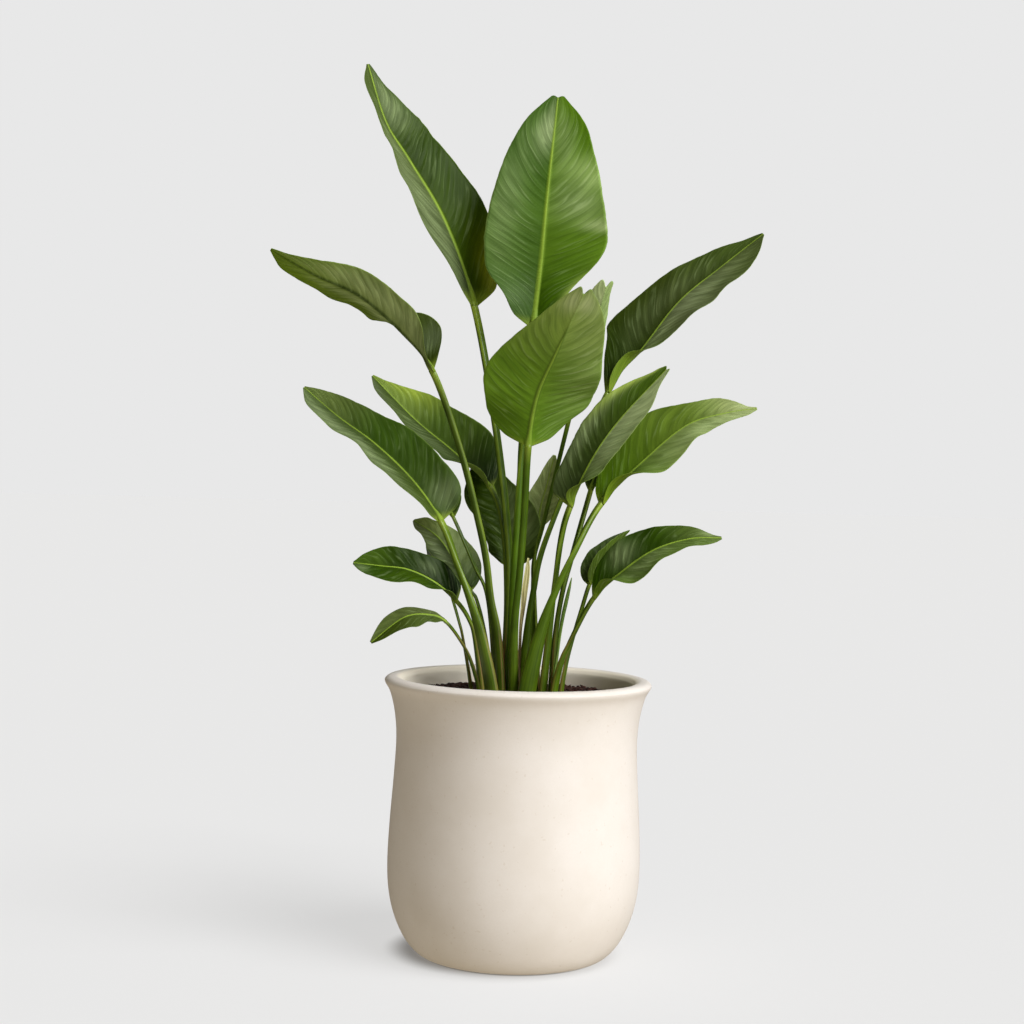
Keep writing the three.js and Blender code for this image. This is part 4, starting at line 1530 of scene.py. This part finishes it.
    def paint(self, spot: Spot) -> tuple[Triple, float]:
        """Returns the green of the blade at a place, with its painted light and shade, and how much
        painted sheen it has there.

        Args:
            spot: The place.

        Returns:
            The green as linear light, and the share of painted sheen.
        """
        row, hand, reach, side = spot
        tone, painted_sheen = self.leaf.tone, 0.0
        green = tone.at(hand, side, row.v)
        # painted shade: the upper face is darker beside the midrib, in the crease where the halves fold
        # up
        painted_shade = self.PAINTED_SHADE * (1 - smooth(*self.PAINTED_SHADE_RUN, reach)) if side > 0 else 0.0
        green = blended(green, (0.0, 0.0, 0.0), painted_shade)
        # painted light and shade: each patch paints its colour into the green, and those with little body
        # also add painted sheen on the crests
        for light_and_colour_patch in self.leaf.light_and_colour_patches:
            if light_and_colour_patch.hand == hand and light_and_colour_patch.under == (side < 0):
                share = light_and_colour_patch.at(row.v, reach)
                green = blended(green, linear(light_and_colour_patch.colour), light_and_colour_patch.body * share)
                painted_sheen = max(painted_sheen, share if light_and_colour_patch.body < 0.5 else 0.0)
        collar = self.COLLAR_SHARE * (1 - smooth(*self.COLLAR_RUN, row.v))
        return blended(green, linear(tone.collar), collar), painted_sheen

    def sheets(self) -> bmesh.types.BMesh:
        """Makes two flat grids back to back, joined all round.

        Returns:
            The grids, in which z says the face, and each face has its place in Sheet.
        """
        bm = bmesh.new()
        for sheet, side in ((Sheet.UPPER, 1), (Sheet.UNDER, -1)):
            old = len(bm.faces)
            matrix = Matrix.Translation((0.0, 0.0, side * 0.01))
            bmesh.ops.create_grid(
                bm, x_segments=self.columns, y_segments=self.rows, size=1.0, matrix=matrix
            )
            faces = list(bm.faces)[old:]
            for face in faces:
                face.material_index = sheet
            if side < 0:
                bmesh.ops.reverse_faces(bm, faces=faces)
        border = [edge for edge in bm.edges if edge.is_boundary]
        for face in bmesh.ops.bridge_loops(bm, edges=border)["faces"]:
            face.material_index = Sheet.EDGE
        return bm

    def build(self, materials: list[bpy.types.Material]) -> bpy.types.Object:
        """Makes the blade.

        Args:
            materials: The finishes of its faces, in the order of Sheet.

        Returns:
            The blade.
        """
        bm = self.sheets()
        grain = bm.verts.layers.float_vector.new("grain")
        tint = bm.verts.layers.float_color.new("tint")
        sheen = bm.verts.layers.float.new("sheen")
        rows: dict[int, Row] = {}
        middle = self.columns // 2
        for vert in bm.verts:
            k = round((vert.co.y + 1.0) / 2.0 * self.rows)
            column = round((vert.co.x + 1.0) * middle) - middle
            side = 1 if vert.co.z > 0 else -1
            if k not in rows:
                share = k / self.rows
                rows[k] = self.row(mix(share, smooth(0.0, 1.0, share), 0.5))
            row, hand = rows[k], int(column > 0)
            across = column / self.RIB_COLUMNS
            if abs(across) <= 1.0:
                keel = self.leaf.keel * (1 - smooth(*self.RIB_FADE_RUN, row.v))
                ribbed = (1.0 - self.leaf.slim * across**2) * (keel if side < 0 else 1.0)
                spot = Spot(row, hand, 0.0, side)
                vert.co = self.rib_point(row, across, side)
            else:
                reach = (abs(column) - self.RIB_COLUMNS) / self.HALF_COLUMNS
                spot, ribbed = Spot(row, hand, reach, side), 0.0
                vert.co = self.half_point(spot)
            out = spot.reach if hand else -spot.reach
            vert[grain] = Vector((out, self.vein(spot.reach, row.v) * MM, row.v + self.seed))
            green, vert[sheen] = self.paint(spot)
            vert[tint] = (*green, ribbed)
        name = f"{self.leaf.name}_lamina"
        return finish_piece(bm, name, materials, "leaf_blade", f"{self.leaf.name}_blade")


ROD_STATIONS = (0, 0.25, 0.5, 0.65, 0.8, 0.93, 1)


@dataclass(frozen=True)
class Spear:
    """The rolled young leaf, in millimetres: a slim pointed roll with its margin as a seam.

    thin is its depth as a share of its width, and step the share by which the seam stands in.
    """

    root: Pair = (46, -2)
    stalk: tuple[Triple, ...] = ((50, -2, 388), (56, -2, 442), (67, -2, 499))
    halves: tuple[float, ...] = (3, 2.8, 2.2, 2.2, 2.8, 2.2, 0.6)
    thin: float = 0.8
    step: float = 0.13
    green: Triple = (92, 124, 46)
    pale: Triple = (140, 164, 88)
    segments: int = 28
    rings: int = 60

    def build(self, material: bpy.types.Material) -> bpy.types.Object:
        """Makes the rolled leaf.

        Args:
            material: Its finish.

        Returns:
            The rolled leaf.
        """
        bm = tube(self.segments, self.rings)
        tint = bm.verts.layers.float_color.new("tint")
        for vert, v, angle, frame in bent(bm, Spine(self.root, self.stalk), 1.0):
            roll = (angle / (2 * math.pi) + 0.8 * v + 0.3) % 1.0
            half = value_at(ROD_STATIONS, self.halves, v) * (1.0 - self.step * roll)
            vert[tint] = (*blended(linear(self.green), linear(self.pale), roll * v), 0.0)
            vert.co = frame.point(half * math.cos(angle), half * self.thin * math.sin(angle))
        return finish_piece(bm, "spear_roll", [material], "leaf_stalk", "rolled_spear")


@dataclass(frozen=True)
class DrySheath:
    """The dried sheath of an old leaf, in millimetres: a thin curled strip with a torn tip."""

    root: Pair = (1, -12)
    stalk: tuple[Triple, ...] = ((1, -12, 402), (2, -12, 442), (6, -12, 482), (9, -12, 524))
    halves: tuple[float, ...] = (2.2, 2.2, 2, 2.8, 4, 3.2, 1)
    thin: float = 0.18
    segments: int = 36
    rings: int = 70

    def build(self, material: bpy.types.Material) -> bpy.types.Object:
        """Makes the sheath.

        Args:
            material: Its finish.

        Returns:
            The sheath.
        """
        bm = tube(self.segments, self.rings)
        for vert, v, angle, frame in bent(bm, Spine(self.root, self.stalk), 1.0):
            half = value_at(ROD_STATIONS, self.halves, v)
            x, y = math.cos(angle), math.sin(angle)
            flute = (0.1 * math.sin(x * 7.0 + v * 3.0) + 0.2 * x * x) * half
            wander = noise.noise(Vector((v * 7.0, 0.0, 4.0))) * v
            vert.co = frame.point(half * x + wander, half * self.thin * y + flute)
        return finish_piece(bm, "dry_sheath_strip", [material], "dry_sheath", "dry_sheath")


@dataclass
class Plant:
    """The clump: all leaves with their stalks, the rolled leaf and the dry sheath."""

    leaves: tuple[Leaf, ...]
    # the midrib's paler crest and the painted shade on its sides, on the upper face and on the keel below
    rib: tuple[Triple, Triple] = ((142, 168, 56), (124, 150, 46))
    keel: tuple[Triple, Triple] = ((134, 162, 56), (88, 112, 34))
    margin: Triple = (142, 166, 76)

    def faces(self) -> list[bpy.types.Material]:
        """Makes the finishes of a blade.

        Returns:
            The materials in the order of Sheet.
        """
        finishes = (
            BladeFinish("leaf_upper", *self.rib, self.margin, 0.26, 0.085, 0.68, 0.0010),
            BladeFinish("leaf_under", *self.keel, self.margin, 0.36, 0.085, 0.64, 0.0010, lines=0.8),
            BladeFinish("leaf_edge", *self.rib, self.margin, 0.4, 0.12, 0.3, 0.0002),
        )
        return [finish.build() for finish in finishes]

    def build(self) -> list[bpy.types.Object]:
        """Makes the plant.

        Returns:
            Its pieces.
        """
        faces, stalk = self.faces(), StalkFinish().build()
        pieces = [Spear().build(stalk), DrySheath().build(DryFinish().build())]
        for seed, leaf in enumerate(self.leaves):
            pieces += [Petiole(leaf).build(stalk), Blade(leaf, seed).build(faces)]
        return pieces


# ---------------------------------------- studio and camera


class Lamp(Enum):
    """The studio's lamps: turn to the right of the camera and height in degrees, strength, spread
    in degrees, colour, and whether the floor takes the light, or nothing but the floor does."""

    KEY = (50.0, 33.0, 3.75, 40.0, (0.96, 1.0, 1.09), False)
    TOP = (-20.0, 78.0, 0.6, 50.0, (1.0, 1.0, 1.0), False)
    BACK = (150.0, 50.0, 0.5, 40.0, (1.0, 1.0, 1.0), False)
    GROUND = (51.0, 61.5, 2.3, 30.0, (1.0, 1.0, 1.0), True)


@dataclass
class Studio:
    """The plain floor, the soft light and the camera of the photograph."""

    backdrop: float = 232.0
    fill: Triple = (0.03, 0.028, 0.025)
    sky: Triple = (0.2, 0.19, 0.17)
    floor_half: float = 40.0
    lamp_distance: float = 4.0
    camera_place: Triple = (-14.0, -2430.0, 628.0)
    pitch: float = 1.05
    roll: float = 1.5
    lens: float = 64.72
    sensor: float = 36.0

    def floor(self) -> bpy.types.Object:
        """Makes the floor, which isn't part of the plant.

        Returns:
            The floor.
        """
        bm = bmesh.new()
        bmesh.ops.create_grid(bm, x_segments=1, y_segments=1, size=self.floor_half)
        mesh = bpy.data.meshes.new("floor")
        bm.to_mesh(mesh)
        bm.free()
        mesh.materials.append(FloorFinish().build())
        floor = in_scene("floor", mesh)
        floor.visible_glossy = False
        floor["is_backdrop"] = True
        return floor

    def lamps(self, floor: bpy.types.Object) -> None:
        """Hangs the lamps, of which some light the floor alone and the others all but the floor.

        Args:
            floor: The floor.
        """
        for lamp in Lamp:
            turn, height, strength, spread, colour, ground = lamp.value
            light = bpy.data.lights.new(lamp.name.lower(), "SUN")
            light.energy, light.angle, light.color = strength, math.radians(spread), colour
            turn, height = math.radians(turn), math.radians(height)
            flat = math.cos(height)
            towards = Vector((math.sin(turn) * flat, -math.cos(turn) * flat, math.sin(height)))
            hung = in_scene(lamp.name.lower(), light)
            hung.rotation_euler = towards.to_track_quat("Z", "Y").to_euler()
            hung.location = towards * self.lamp_distance
            lit = bpy.data.collections.new(f"{lamp.name.lower()}_lights")
            lit.objects.link(floor)
            hung.light_linking.receiver_collection = lit
            lit.collection_objects[0].light_linking.link_state = "INCLUDE" if ground else "EXCLUDE"

    def surroundings(self) -> None:
        """Sets the soft surrounding light and the plain backdrop behind the plant."""
        world = bpy.data.worlds.new("studio")
        bpy.context.scene.world = world
        world.use_nodes = True
        shader = Shader(world.node_tree)
        above = shader.split(shader.out(shader.node("ShaderNodeTexCoord"), "Generated"))[2]
        light = shader.blend(above.step(-0.1, 0.9), self.fill, self.sky)
        colour = shader.blend(shader.seen(), light, linear((self.backdrop,) * 3))
        back = shader.node("ShaderNodeBackground", None, {"Color": colour, "Strength": 1.0})
        shader.node("ShaderNodeOutputWorld", None, {"Surface": shader.out(back)})

    def camera(self) -> None:
        """Places the camera where the photograph was taken from."""
        data = bpy.data.cameras.new("camera")
        data.lens, data.sensor_width, data.sensor_fit = self.lens, self.sensor, "HORIZONTAL"
        data.clip_end = 5.0 * self.floor_half
        camera = in_scene("camera", data)
        camera.matrix_world = (
            Matrix.Translation(Vector(self.camera_place) * MM)
            @ Matrix.Rotation(math.radians(90.0 - self.pitch), 4, "X")
            @ Matrix.Rotation(math.radians(self.roll), 4, "Z")
        )
        bpy.context.scene.camera = camera

    def build(self) -> None:
        """Makes the whole studio."""
        self.camera()
        self.lamps(self.floor())
        self.surroundings()
        bpy.context.scene.view_settings.view_transform = "Standard"


# ---------------------------------------- the assembly


def main() -> None:
    """Builds the potted plant and its studio."""
    logging.basicConfig(level=logging.INFO, format="%(name)s: %(message)s")
    Studio().build()
    Planter().build()
    Soil().build()
    Plant(LEAVES).build()
    boxes = {"cad": CAD_BOX, "visual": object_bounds()}
    plain = {key: [list(corner) for corner in box] for key, box in boxes.items()}


if __name__ == "__main__":
    main()
